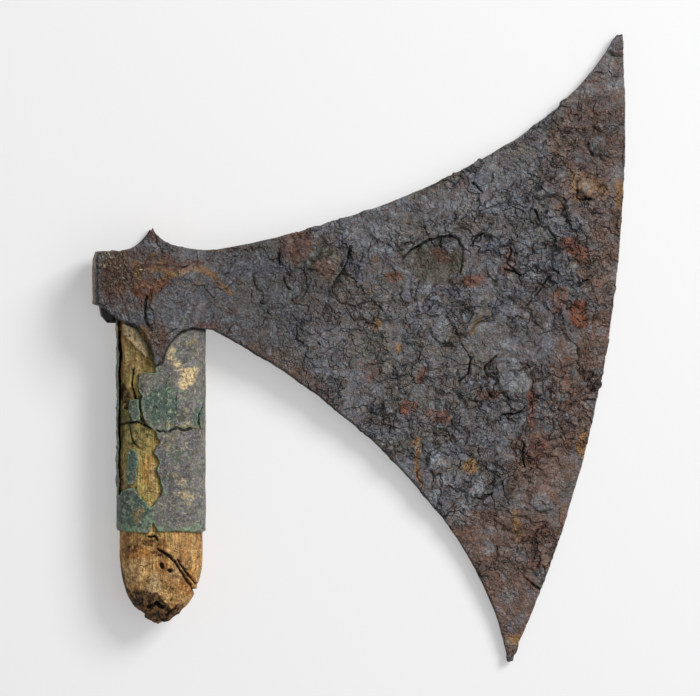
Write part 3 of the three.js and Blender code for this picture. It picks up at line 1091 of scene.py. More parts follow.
@dataclass
class AxeHead:
    """The forged head: poll, lobed socket, neck and thin blade, all under a corroded crust."""

    node: str = "axe_head"
    fine: float = 0.98
    coarse: float = 3.2
    terraces: tuple[tuple[float, float, float], ...] = (
        (15.0, 0.95, 0.05),
        (7.0, 0.8, 0.08),
        (3.6, 0.5, 0.12),
    )
    wave: float = 0.4
    wrinkle: float = 0.5
    pit_depth: float = 0.35
    rust_depth: float = 0.35
    groove: float = 0.4
    lowest: float = -2.2
    highest: float = 1.1
    neck_calm: float = 0.88
    field_calm: float = 0.85
    cleft_depth: float = 0.9
    outline_ragged: float = 0.3
    blister_count: int = 46
    crack_band: float = 0.8
    nodules: tuple[tuple[float, float, float], ...] = (
        (100.3, 23.3, 2.4),
        (94.3, -14.2, 2.9),
        (98.4, 11.5, 1.6),
        (96.4, -1.5, 1.3),
    )
    hollows: tuple[Hollow, ...] = (
        Hollow(
            (
                (17.6, 35.9), (21.1, 39.5), (26.3, 42.4), (32.3, 44.7), (37.1, 44.9), (39.9, 43.9),
                (41.3, 39.1), (41.1, 34.3), (39.5, 29.1), (36.3, 25.5), (30.7, 23.1), (24.3, 24.3),
                (19.5, 28.7), (17.1, 32.7),
            ),
            1.35,
            0.5,
            0.85,
        ),
        Hollow(
            (
                (-28.0, 38.0), (-22.0, 43.5), (-13.0, 45.0), (-5.0, 42.0), (-2.5, 36.0), (-4.5, 28.0),
                (-9.0, 22.0), (-16.0, 19.5), (-24.0, 22.0), (-29.0, 29.0),
            ),
            0.7,
            0.9,
            -0.3,
        ),
    )
    blisters: tuple[Blister, ...] = (
        Blister(102.0, 77.5, 3.6, 0.8),
        Blister(91.5, 63.5, 4.2, 0.9),
        Blister(58.4, 21.1, 3.3, 0.8),
        Blister(91.8, 31.6, 3.2, 0.8),
        Blister(69.8, 37.9, 4.4, 0.6),
        Blister(84.0, 6.5, 2.6, 0.8),
        Blister(101.6, 23.2, 2.4, 1.0),
        Blister(94.8, -13.6, 3.4, 1.0),
        Blister(96.5, 12.0, 1.9, 0.7),
        Blister(73.5, -60.5, 5.2, 0.35),
        Blister(36.5, 6.0, 5.0, 0.4),
        Blister(64.5, 2.0, 3.0, 0.4),
        Blister(98.0, 93.0, 5.0, 0.35),
    )
    marks: tuple[Patch | Streak, ...] = (
        *patches(
            Stain.RUST,
            (87.4, 13.6, 4.6, 7.0), (84.0, 41.0, 4.7, 3.9, 0.7), (90.0, 36.5, 6.1, 4.4, 0.75),
            (79.5, 18.5, 3.2, 6.5, 0.55), (59.5, 33.5, 3.0, 6.5, 0.45), (44.2, 26.5, 3.8, 3.1, 0.6),
            (-24.5, 41.5, 8.1, 8.5, 0.6), (-13.5, 31.5, 5.4, 4.5, 0.45),
            (32.0, 37.5, 5.4, 3.4, 0.6, -30), (13.5, 28.0, 3.4, 2.1, 0.6), (5.0, -9.0, 2.7, 4.5, 0.35),
            (25.0, -9.5, 2.2, 5.2, 0.55), (19.5, -24.5, 4.1, 3.4, 0.7), (31.5, -26.5, 4.9, 3.1, 0.65),
            (69.5, -24.0, 2.4, 10.4, 0.7), (71.0, -41.0, 5.4, 8.5, 0.45),
            (72.0, -74.0, 10.1, 5.9, 0.4, 15), (86.0, -76.0, 4.1, 6.5, 0.4),
            (52.0, -18.0, 6.8, 2.6, 0.55), (-77.0, 35.0, 4.1, 3.2, 0.5),
            (-83.0, 22.6, 6.8, 3.9, 0.75, 10), (-60.0, 8.0, 4.3, 2.3, 0.7),
            (-96.0, 27.0, 8.1, 9.1, 0.35), (-33.0, -15.0, 8.1, 6.5, 0.3, -35),
        ),
        *patches(
            Stain.OCHRE,
            (-82.5, 21.0, 3.2, 4.5, 0.45, 10), (23.6, -46.0, 1.0, 10.5), (23.2, -38.0, 2.4, 3.0, 0.6),
            (7.0, 10.0, 2.8, 2.8, 0.5), (45.5, 8.0, 1.8, 5.0, 0.5, -25), (90.5, 64.5, 9.0, 7.6, 0.5),
            (103.0, 62.0, 1.6, 7.5, 0.65), (91.0, -40.0, 3.0, 7.0, 0.75, 10),
            (44.5, -47.5, 3.6, 2.6, 0.7, 30), (63.0, -70.5, 2.0, 8.0, 0.6),
            (30.0, -66.5, 4.0, 2.2, 0.45, -35), (62.0, -117.5, 3.2, 2.2, 0.8),
            (16.0, 0.0, 1.4, 3.6, 0.5), (-80.0, 32.5, 3.6, 2.6, 0.7), (-64.0, 26.0, 2.2, 1.6, 0.5),
            (-81.5, 37.2, 2.4, 1.2, 0.6, 25), (-84.0, 5.0, 1.6, 5.5, 0.8, 28),
            (-106.0, 27.0, 1.8, 9.5, 0.9),
        ),
        *patches(
            Stain.PLATE,
            (31.5, -45.0, 5.0, 5.0, 0.8, 0, 0.35), (29.0, -59.5, 5.6, 5.0, 1.0, -20, 0.4),
            (36.5, -52.5, 5.0, 3.6, 0.8), (47.5, -54.0, 5.4, 6.0, 0.9, 0, 0.45),
            (43.0, -64.5, 3.6, 4.0, 0.8), (35.0, 8.0, 5.0, 4.0, 0.55),
            (48.0, 60.0, 14.0, 8.0, 0.45, 15), (10.0, 44.0, 16.0, 7.0, 0.4, 12),
            (68.0, 33.0, 5.0, 6.0, 0.55), (60.0, -14.0, 8.0, 6.5, 0.5, 0, 0.4),
            (-34.0, 31.0, 4.0, 5.0, 0.5), (91.5, 9.0, 1.8, 1.8, 0.9, 0, 0.4),
            (73.0, -92.0, 5.5, 4.0, 0.5, -20, 0.4), (60.0, -99.5, 3.2, 4.8, 0.45),
            (58.5, -93.0, 2.6, 1.8, 0.5), (80.0, 49.0, 6.0, 5.0, 0.4),
            (91.7, 101.7, 4.0, 3.6, 0.8, 0, 0.4), (96.3, 81.8, 3.4, 3.4, 0.7, 0, 0.5),
            (91.7, 64.1, 3.8, 3.8, 0.9, 0, 0.5), (73.5, -61.0, 4.4, 4.4, 0.5, 0, 0.4),
            (64.5, -13.5, 6.0, 6.0, 0.7, 0, 0.5),
        ),
        *patches(
            Stain.BROWN,
            (62.0, -95.0, 34.0, 38.0), (80.0, -55.0, 24.0, 32.0, 0.9),
            (46.0, -78.0, 16.0, 12.0, 1.0, -40), (101.0, 25.0, 13.0, 50.0, 0.9),
            (90.0, -15.0, 16.0, 30.0, 0.85), (92.0, 80.0, 18.0, 34.0, 0.7, -15),
            (22.0, -78.0, 14.0, 10.0, 0.7, -40), (-30.0, -10.0, 26.0, 8.0, 0.65, -32),
            (-12.0, 20.0, 14.0, 14.0, 0.35), (-92.0, 27.0, 14.0, 16.0, 0.85),
            (-78.0, 48.0, 8.0, 8.0, 0.8), (-55.0, 42.0, 12.0, 5.0, 0.6),
            (-80.0, 3.0, 6.0, 10.0, 0.85, 20),
        ),
        *patches(
            Stain.CALM,
            (30.0, 34.0, 12.0, 10.5, 0.9), (15.0, 54.0, 34.0, 11.0, 0.7, 20),
            (100.0, 30.0, 6.0, 50.0, 0.5), (54.0, 69.0, 30.0, 8.0, 0.85, 36),
            (50.0, 30.0, 8.0, 12.0, 0.8), (12.0, 30.0, 12.0, 14.0, 0.7),
            (-12.0, 8.0, 34.0, 16.0, 0.55, -35), (29.0, -59.5, 5.0, 4.4, 0.9, -20),
            (47.5, -54.0, 4.8, 5.4, 0.8), (31.5, -45.0, 4.4, 4.4, 0.7),
            (-28.0, -4.0, 26.0, 10.0, 0.5, -32), (62.0, -104.0, 16.0, 22.0, 0.85),
            (50.0, -78.0, 14.0, 12.0, 0.7, -30), (84.0, -62.0, 10.0, 14.0, 0.6, 10),
            (96.0, 82.0, 8.0, 9.0, 0.8), (91.7, 64.1, 5.5, 5.5, 0.8), (64.5, -13.5, 7.0, 7.0, 0.7),
        ),
        *patches(
            Stain.OLIVE,
            (30.0, 33.5, 11.5, 9.5), (7.0, 2.0, 12.0, 16.0, 0.5), (37.0, 2.0, 10.0, 8.0, 0.4),
            (66.0, -13.0, 8.0, 7.0, 0.4), (-14.0, 32.0, 8.0, 10.0, 0.5),
        ),
        # Darker patches: the two broad ones darken the cheek and the neck, the small ones the nodules, the
        # floor of the larger recess and the upper horn.
        *patches(
            Stain.SHADE_AND_DARK_MARKS,
            (-72.0, 22.0, 36.0, 34.0, 0.35), (-40.0, 22.0, 34.0, 34.0, 0.46),
            (100.3, 23.3, 2.4, 2.4, 0.4), (94.3, -14.2, 2.9, 2.9, 0.4), (30.0, 34.0, 11.0, 9.5, 0.46),
            (96.0, 86.0, 14.0, 22.0, 0.36),
        ),
        *patches(
            Stain.SAND,
            (-97.0, 31.0, 8.5, 9.0, 0.8), (-86.5, 28.0, 3.6, 7.0), (-82.0, 37.0, 3.5, 1.6, 0.6, 25),
        ),
        Streak(
            Stain.OCHRE,
            (
                (-82.0, 31.6), (-71.4, 30.4), (-63.0, 32.2), (-57.5, 29.0), (-54.2, 25.0),
                (-51.0, 22.4),
            ),
            1.5, 0.7,
        ),
        Streak(Stain.RUST, ((-83.4, 33.6), (-71.4, 32.4), (-63.0, 34.0)), 2.0, 0.5),
        Streak(Stain.OCHRE, ((-86.0, 21.5), (-80.0, 24.5), (-75.0, 28.5), (-70.0, 30.5)), 1.8, 0.8),
        Streak(Stain.RUST, ((-88.0, 22.0), (-81.0, 22.5), (-76.0, 26.0)), 2.2, 0.7),
        Streak(Stain.OCHRE, ((-88.0, 33.5), (-87.0, 28.0), (-87.5, 22.5)), 1.4, 0.7),
        Streak(Stain.SHADE_AND_DARK_MARKS, ((-84.0, 33.4), (-77.0, 32.6), (-70.0, 32.0), (-65.0, 33.8)), 0.6, 0.6),
        Streak(
            Stain.SHADE_AND_DARK_MARKS,
            (
                (17.5, 35.9), (21.1, 39.5), (26.3, 42.3), (32.3, 44.6), (37.1, 44.8), (39.9, 43.7),
                (41.3, 39.0), (41.1, 34.3), (40.3, 30.3),
            ),
            0.6, 1.0,
        ),
        # Painted shadow cast by the rim: a wide faint band just inside the larger recess's rim.
        Streak(
            Stain.SHADE_AND_DARK_MARKS,
            ((18.5, 34.9), (26.3, 40.8), (36.6, 43.3), (39.4, 39.0), (39.6, 33.3)),
            2.2, 0.35,
        ),
        Streak(Stain.SHADE_AND_DARK_MARKS, ((17.6, 35.0), (17.8, 30.5), (20.5, 26.5)), 0.5, 0.5),
        Streak(Stain.SHADE_AND_DARK_MARKS, ((-32.5, 40.1), (-32.0, 33.1), (-29.5, 26.1), (-25.5, 21.1)), 1.9, 0.45),
        Streak(Stain.SHADE_AND_DARK_MARKS, ((-3.6, 38.3), (-5.2, 31.1), (-8.6, 26.1), (-12.6, 22.1)), 1.1, 0.6),
        Streak(Stain.SHADE_AND_DARK_MARKS, ((-23.6, 20.1), (-16.6, 19.1), (-12.6, 22.1)), 1.0, 0.35),
        Streak(
            Stain.SHADE_AND_DARK_MARKS,
            ((55.1, -9.6), (55.9, -14.8), (58.3, -19.2), (61.9, -21.2), (65.4, -21.2)),
            0.8, 0.8,
        ),
        Streak(Stain.SHADE_AND_DARK_MARKS, ((28.3, 8.4), (29.5, 4.0), (33.5, 1.2), (37.1, 2.0)), 0.8, 0.7),
        Streak(Stain.SHADE_AND_DARK_MARKS, ((68.5, 51.5), (75.9, 47.3), (78.0, 43.0), (77.0, 32.0)), 0.8, 0.6),
        Streak(Stain.SHADE_AND_DARK_MARKS, ((-103.6, 38.5), (-103.9, 28.0), (-103.5, 16.0)), 0.6, 0.7),
        Streak(Stain.OCHRE, ((-105.3, 36.5), (-105.6, 18.0)), 1.6, 1.0),
        Streak(
            Stain.SHADE_AND_DARK_MARKS,
            ((90.2, 87.9), (90.6, 81.8), (93.0, 78.4), (95.6, 77.2), (99.4, 76.8)),
            0.6, 0.9,
        ),
        Streak(Stain.SHADE_AND_DARK_MARKS, ((87.2, 66.5), (87.2, 63.0), (89.0, 60.3), (94.0, 59.5)), 0.6, 0.9),
        Streak(Stain.SHADE_AND_DARK_MARKS, ((54.0, -50.5), (53.0, -57.5), (49.0, -60.5), (44.5, -59.5)), 0.5, 0.7),
        Streak(Stain.SHADE_AND_DARK_MARKS, ((63.4, -88.0), (66.3, -91.8), (70.2, -95.0), (76.5, -98.4)), 0.5, 0.7),
        Streak(Stain.SHADE_AND_DARK_MARKS, ((69.0, -57.5), (68.6, -62.5), (72.0, -65.5), (77.0, -64.5)), 0.4, 0.6),
    )
    lines: tuple[Crack, ...] = (
        Crack(((-84.4, 20.2), (-84.8, 14.5), (-84.2, 10.5), (-81.8, 7.0), (-79.6, 3.4)), 0.75),
        Crack(((17.6, 35.6), (21.0, 39.2), (26.5, 42.3), (32.2, 44.4), (37.0, 45.0), (40.2, 44.0)), 0.75),
        Crack(((40.2, 44.0), (41.5, 39.0), (41.3, 34.0), (40.4, 30.0)), 0.6),
        Crack(((-3.6, 40.3), (-5.0, 34.3), (-7.8, 29.2), (-10.4, 25.3), (-13.5, 22.3), (-18.0, 20.5)), 0.2),
        Crack(((-32.0, 38.0), (-31.4, 31.8), (-29.6, 27.2), (-27.2, 23.0)), 0.3),
        Crack(((-53.5, 11.7), (-39.5, 11.7), (-34.5, 13.2), (-32.7, 17.1)), 0.0),
        Crack(((-34.7, 12.8), (-26.7, 13.2), (-19.6, 5.2), (-15.6, 1.0)), 0.0),
        Crack(
            (
                (70.6, 55.1), (72.2, 50.3), (75.4, 47.1), (78.2, 43.9), (77.0, 39.1), (77.4, 31.9),
                (81.0, 29.0),
            ),
            0.6,
        ),
        Crack(((76.6, 30.0), (74.0, 26.0), (71.0, 21.0), (67.0, 17.0)), 0.5),
        Crack(((58.2, 31.2), (62.5, 30.2), (64.4, 28.8)), 0.55),
        Crack(((28.3, 8.4), (29.5, 4.0), (33.5, 1.2), (37.1, 2.0), (39.5, 5.2)), 0.7),
        Crack(((40.7, 1.2), (44.3, -4.8), (43.5, -10.8), (40.0, -13.5)), 0.6),
        Crack(((74.2, -16.8), (77.0, -21.9), (80.6, -26.0)), 0.75),
        Crack(((66.2, -38.7), (65.4, -42.7), (66.0, -47.5)), 0.6),
        Crack(((52.5, -19.0), (49.0, -14.0), (50.0, -7.0), (54.5, -3.0)), 0.7),
        Crack(((57.0, -27.0), (64.0, -26.0), (68.0, -21.0)), 0.6),
        Crack(((63.1, -87.8), (66.3, -91.8), (70.2, -95.0), (76.5, -99.0)), 0.7),
        Crack(((75.4, -78.6), (74.5, -82.0)), 0.4),
        Crack(((94.6, 87.8), (92.2, 83.8), (92.2, 79.0), (94.6, 75.0), (98.6, 73.0)), 0.65),
        Crack(((87.4, 63.1), (87.0, 60.3), (90.2, 59.1), (93.0, 59.6)), 0.65),
        Crack(((101.8, 57.1), (102.2, 50.3), (104.0, 49.0)), 0.5),
        Crack(((44.3, 40.7), (47.0, 44.5), (52.0, 46.5), (55.0, 43.0)), 0.35),
        Crack(((45.0, 66.0), (49.0, 62.0), (47.0, 58.5)), 0.35),
        Crack(((60.0, 43.0), (61.0, 38.0), (59.0, 34.0), (62.0, 31.0)), 0.45),
        Crack(((83.0, 34.0), (85.0, 29.0), (88.0, 26.0), (92.0, 27.0)), 0.45),
        Crack(((10.0, -24.0), (13.0, -29.0), (12.0, -34.0)), 0.35),
        Crack(((49.0, -48.0), (44.5, -51.0), (44.0, -57.0), (48.0, -60.0), (53.0, -58.0)), 0.4),
        Crack(((-74.0, 32.0), (-70.0, 31.8), (-66.0, 33.0)), 0.35),
        Crack(((-99.0, 14.0), (-95.0, 10.5), (-91.0, 7.0)), 0.5),
    )

    def loose_blisters(self) -> tuple[Blister, ...]:
        """Returns small blisters scattered over the outer two thirds of the blade."""
        chance = random.Random(5)
        spots = []
        while len(spots) < self.blister_count:
            x, y = chance.uniform(10.0, 100.0), chance.uniform(-80.0, 95.0)
            if chance.random() < (x + 30.0) / 130.0:
                spots.append(Blister(x, y, chance.uniform(1.1, 3.4), chance.uniform(0.2, 0.8)))
        return tuple(spots)

    def relief(self, skin: Skin, noise: Noise) -> tuple[Array, Array]:
        """Works out the crust's height and paints its dark lines.

        Args:
            skin: The head's skin.
            noise: The noise that shapes it.

        Returns:
            For each point, its height in millimetres and its pitting from 0 to 1.
        """
        rest = skin.rest
        bent = noise.warped(noise.warped(rest, 11.0, 3.4, 1), 3.0, 0.9, 60)
        calm = skin.stained(self.marks, Stain.CALM, noise)
        calm = np.maximum(calm, self.neck_calm * smooth(10.0, -45.0, rest[:, 0]))
        calm = np.maximum(calm, self.field_calm * smooth(-0.05, 0.3, noise.layered(rest, 17.0, 3, 95)))
        uneven = smooth(-0.4, 0.3, noise.layered(rest, 40.0, 2, 90) + 0.2)
        lively = (0.45 + 0.55 * uneven) * (1.0 - 0.8 * calm)
        height = self.wave * noise.layered(rest, 26.0, 3, 2)
        gap = skin.crack_gap(self.lines, noise)
        first: Array | None = None
        for layer, (size, step, width) in enumerate(self.terraces):
            field = noise.layered(bent, size, 4, 110 + 20 * layer)
            height += step * (smooth(-width, width, field) - 0.5) * lively
            first = field if first is None else first
        grown = np.zeros(len(rest))
        for blister in self.blisters + self.loose_blisters():
            away = np.hypot(bent[:, 0] - blister.x, bent[:, 1] - blister.y)
            near = away < blister.radius * 1.5
            share = np.clip(away[near] / blister.radius, 0.0, 1.0)
            grown[near] += blister.rise * np.sqrt(1.0 - share**2)
            off_ring = np.abs(away[near] - blister.radius * 1.04)
            grown[near] -= self.groove * np.exp(-((off_ring / 0.45) ** 2))
            gap[near] = np.minimum(gap[near], off_ring + 0.35)
        height += grown
        for x, y, radius in self.nodules:
            ring = np.abs(np.hypot(rest[:, 0] - x, rest[:, 1] - y) - radius * 1.05)
            gap = np.minimum(gap, ring + 0.25)
        open_share = smooth(-0.25, 0.3, noise.layered(rest, 6.0, 3, 530))
        painted = np.clip(1.0 - gap / skin.CRACK_REACH, 0.0, 1.0) * (0.75 + 0.25 * open_share)
        skin.paint(Stain.CRACK, painted)
        skin.paint(Stain.SCARP, 0.5 + first * 0.5)
        skin.paint(Stain.OPEN, smooth(-0.15, 0.35, noise.layered(rest, 12.0, 3, 540)) * lively)
        skin.paint(Stain.CALM, calm)
        height -= self.cleft_depth * (1.0 - smooth(0.1, 0.75, gap)) * open_share
        creases = noise.ridges(noise.warped(rest, 2.4, 0.9, 44), 2.4, 3, 40)
        height += self.wrinkle * (creases - 0.5) * (0.4 + lively)
        height += skin.rises(self.marks, noise)
        height -= self.rust_depth * skin.stained(self.marks, Stain.RUST, noise)
        sand = skin.stained(self.marks, Stain.SAND, noise)
        height += sand * (0.6 * smooth(0.0, 0.6, noise.plain(rest, 1.6, 70)) + 0.1)
        pits = smooth(0.3, 0.85, -noise.layered(bent, 5.0, 4, 80)) * lively
        height -= self.pit_depth * pits
        for hollow in self.hollows:
            height += hollow.height(skin.edge_gap(hollow.points, noise), rest)
        return height, pits * 0.5

    def build(self, material: bpy.types.Material) -> bpy.types.Object:
        """Makes the head's surface.

        Args:
            material: Its finish.

        Returns:
            The object.
        """
        noise = Noise(11)
        skin = Skin(
            self.node,
            self.fine,
            self.coarse,
            close=lambda places: lines_close(self.lines, places, self.crack_band),
            lumps=self.nodules,
        )
        height, pits = self.relief(skin, noise)
        up = smooth(-0.1, 0.45, skin.normals[:, 2])
        thick = smooth(0.5, 3.0, skin.thickness())
        clear = self._outside_eye(skin)
        lift = np.clip(height, self.lowest, self.highest) * (0.35 + 0.65 * up) * (0.3 + 0.7 * thick) * clear
        skin.places = skin.places + skin.normals * lift[:, None]
        flat = skin.rest * [1, 1, 0.4]
        sway = np.column_stack([noise.layered(flat, 3.4, 3, 200 + axis) for axis in (0, 1)])
        side = (1.0 - np.abs(skin.normals[:, 2])) * clear
        worn = 0.4 + 0.6 * smooth(20.0, 70.0, skin.rest[:, 0])
        skin.places[:, :2] += sway * (self.outline_ragged * worn * (0.25 + 0.75 * side))[:, None]
        for x, y, radius in self.nodules:
            middle = np.array([x, y, skin.top(x, y) - 0.35 * radius])
            away = skin.places - middle
            reach = np.linalg.norm(away, axis=1)
            inside = reach < radius
            lump = radius * (1.0 + 0.1 * noise.plain(skin.rest[inside], 1.5, 77))
            skin.places[inside] = middle + away[inside] * (lump / np.maximum(reach[inside], 0.2))[:, None]
        skin.places[:, 2] = np.maximum(skin.places[:, 2], 0.0)
        for stain in (Stain.RUST, Stain.OCHRE, Stain.PLATE, Stain.BROWN, Stain.SAND, Stain.OLIVE):
            skin.paint(stain, skin.stained(self.marks, stain, noise))
        # Painted shade in the pits, along the lower edges that face away from the light, fading out past the
        # middle of the blade, and on the eye's wall, together with the listed darker patches and lines.
        shade_and_marks = np.maximum(pits, skin.stained(self.marks, Stain.SHADE_AND_DARK_MARKS, noise))
        under = skin.near_edges(1.1, Vector((-0.5, -0.87, 0.0))) * smooth(80.0, 40.0, skin.rest[:, 0])
        shade_and_marks = np.maximum(shade_and_marks, 0.85 * under)
        skin.paint(Stain.SHADE_AND_DARK_MARKS, np.maximum(shade_and_marks, 0.9 * (1.0 - clear)))
        return skin.finish(material)

    @staticmethod
    def _outside_eye(skin: Skin) -> Array:
        """Returns 0 for points on the wall of the eye, which stays clear of the haft, and 1 for others."""
        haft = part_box("haft")
        middle = (np.array(haft[0]) + np.array(haft[1])) / 2 / MM
        half = (np.array(haft[1]) - np.array(haft[0])) / 2 / MM
        inward = skin.rest - middle
        inward[:, 1] = 0.0
        length = np.maximum(np.linalg.norm(inward, axis=1), 1.0)
        facing = np.einsum("ij,ij->i", skin.normals, -inward) / length
        reach = np.hypot(inward[:, 0] / (half[0] + 3.5), inward[:, 2] / (half[2] + 3.5))
        return 1.0 - smooth(0.0, 0.4, facing) * (reach < 1.0)


@dataclass
class Haft:
    """The stump of the haft: olive where the sheet covered it, tan and rotted at its broken end."""

    node: str = "haft"
    fine: float = 0.62
    coarse: float = 2.6
    bare_length: float = 39.0
    break_length: float = 26.0
    crack_depth: float = 1.6
    lowest: float = -2.6
    marks: tuple[Patch | Streak, ...] = (
        Patch(Stain.OLIVE, -80.0, -32.0, 24.0, 44.0),
        *patches(Stain.GREEN, (-87.0, -28.0, 8.0, 11.0, 0.9), (-92.5, -30.0, 3.0, 14.0, 0.6)),
        *patches(
            Stain.ROT,
            (-93.5, -17.5, 2.2, 4.2, 0.7), (-91.0, -22.0, 3.6, 2.6, 0.5), (-82.5, -102.0, 8.0, 4.6),
            (-92.5, -97.0, 3.0, 8.0, 0.8, 25), (-72.5, -104.5, 4.0, 3.0, 0.9),
            (-81.0, -110.0, 11.0, 5.0, 0.9), (-87.0, -102.0, 9.0, 5.5, 0.9, 10),
            (-77.0, -107.0, 12.0, 4.5, 0.8), (-94.0, -91.0, 1.6, 9.0, 0.7, 12),
            (-92.0, -80.0, 3.0, 3.0, 0.45), (-79.5, -81.5, 5.0, 1.2, 0.6, -10),
            (-82.3, -76.6, 3.2, 1.8, 0.75), (-88.5, -79.5, 4.5, 2.0, 0.4),
            (-84.0, -92.0, 1.2, 4.5, 0.45),
        ),
        *patches(
            Stain.SAND,
            (-81.0, -94.5, 4.0, 6.5, 0.95), (-72.0, -88.0, 5.0, 5.0, 0.5),
            (-89.0, -88.0, 4.0, 6.0, 0.5), (-93.8, -47.0, 1.8, 9.5, 0.8),
            (-88.0, -5.0, 6.0, 8.0, 0.35, -30), (-79.6, -57.5, 1.4, 2.4, 0.7),
            (-81.5, -50.0, 1.6, 5.0, 0.8),
        ),
        *patches(
            Stain.RUST,
            (-83.5, -48.0, 4.0, 8.5, 0.6), (-87.0, -81.5, 7.0, 3.4, 0.8),
            (-67.5, -93.0, 4.0, 7.0, 0.8, -20), (-78.0, -86.0, 5.0, 3.0, 0.4),
        ),
    )
    lines: tuple[Crack, ...] = (
        Crack(
            (
                (-79.4, -79.5), (-75.0, -81.8), (-72.6, -84.4), (-69.4, -89.6), (-66.2, -94.4),
                (-64.8, -97.0),
            ),
            0.6,
        ),
        Crack(((-71.6, -83.5), (-67.6, -89.5), (-64.4, -93.6)), 0.35),
        Crack(((-77.9, -85.4), (-77.6, -86.6)), 1.5),
        Crack(((-74.7, -87.8), (-74.2, -88.4)), 1.1),
        Crack(((-83.5, -75.0), (-81.0, -74.3), (-79.6, -76.4)), 0.5),
        Crack(((-95.0, -30.5), (-88.0, -29.5), (-82.0, -31.6)), 0.2),
        Crack(((-86.6, -20.5), (-87.2, -27.0), (-84.0, -31.0)), 0.1),
        Crack(((-91.0, -31.0), (-90.0, -37.0), (-87.0, -40.0)), 0.0),
        Crack(((-94.9, 6.0), (-94.9, -4.0)), 0.9),
        Crack(((-94.9, -4.0), (-95.1, -20.0), (-95.3, -40.0)), 0.1),
        Crack(((-90.0, -8.5), (-90.5, -15.0), (-88.6, -20.0)), 0.35),
        Crack(((-86.5, -11.5), (-86.3, -17.0), (-84.0, -20.3)), 0.35),
        Crack(((-84.0, -103.0), (-80.0, -101.5), (-77.0, -103.5)), 1.4),
        Crack(((-89.5, -104.0), (-86.0, -106.5)), 1.0),
        Crack(((-76.0, -106.5), (-72.5, -104.5)), 1.0),
    )

    def build(self, material: bpy.types.Material) -> bpy.types.Object:
        """Makes the haft's surface.

        Args:
            material: Its finish.

        Returns:
            The object.
        """
        noise = Noise(29)
        skin = Skin(self.node, self.fine, self.coarse, -0.2)
        rest = skin.rest
        top, bottom = rest[:, 1].max(), rest[:, 1].min()
        bare = smooth(bottom + self.bare_length, bottom + self.bare_length - 4.0, rest[:, 1])
        end = 1.0 - smooth(bottom, bottom + self.break_length, rest[:, 1])
        fibres = noise.layered(rest * [1.0, 0.07, 1.0], 1.3, 3, 5)
        dents = noise.layered(rest * [1.0, 0.4, 1.0], 8.0, 3, 15)
        rot = skin.stained(self.marks, Stain.ROT, noise)
        gap = skin.crack_gap(self.lines, noise)
        torn = noise.layered(rest * [1.0, 0.35, 1.0], 2.2, 3, 25)
        height = (0.12 * fibres + 0.25 * dents * bare) - self.crack_depth * (1.0 - smooth(0.1, 0.8, gap))
        height += end * (0.5 * torn - 0.15) - rot * (0.45 + 0.6 * np.abs(torn))
        height += 0.3 * skin.stained(self.marks, Stain.GREEN, noise) * noise.layered(rest, 2.4, 3, 35)
        hidden = smooth(0.0, 0.12, np.abs(rest[:, 1] - top) / 30.0)
        lift = np.clip(height, self.lowest, 0.28 + 0.6 * end) * hidden
        skin.places = skin.places + skin.normals * lift[:, None]
        sway = noise.layered(rest * [1.0, 0.5, 1.0], 3.0, 3, 65) * 0.5 * end
        skin.places[:, 1] += sway
        skin.places[:, 2] = np.maximum(skin.places[:, 2], 0.0)
        for stain in (Stain.OLIVE, Stain.GREEN, Stain.SAND, Stain.RUST):
            skin.paint(stain, skin.stained(self.marks, stain, noise))
        skin.paint(Stain.ROT, rot)
        skin.paint(Stain.CRACK, 1.0 - gap / skin.CRACK_REACH)
        # Painted shade in the low places of the torn end and in the joints with the head and the sheet.
        joint = np.maximum(skin.near_node("axe_head", 2.0), 0.4 * skin.near_node("haft_sheet", 1.0))
        skin.paint(Stain.SHADE_AND_DARK_MARKS, np.maximum(smooth(0.2, 0.8, -torn) * end * 0.5, joint))
        return skin.finish(material)


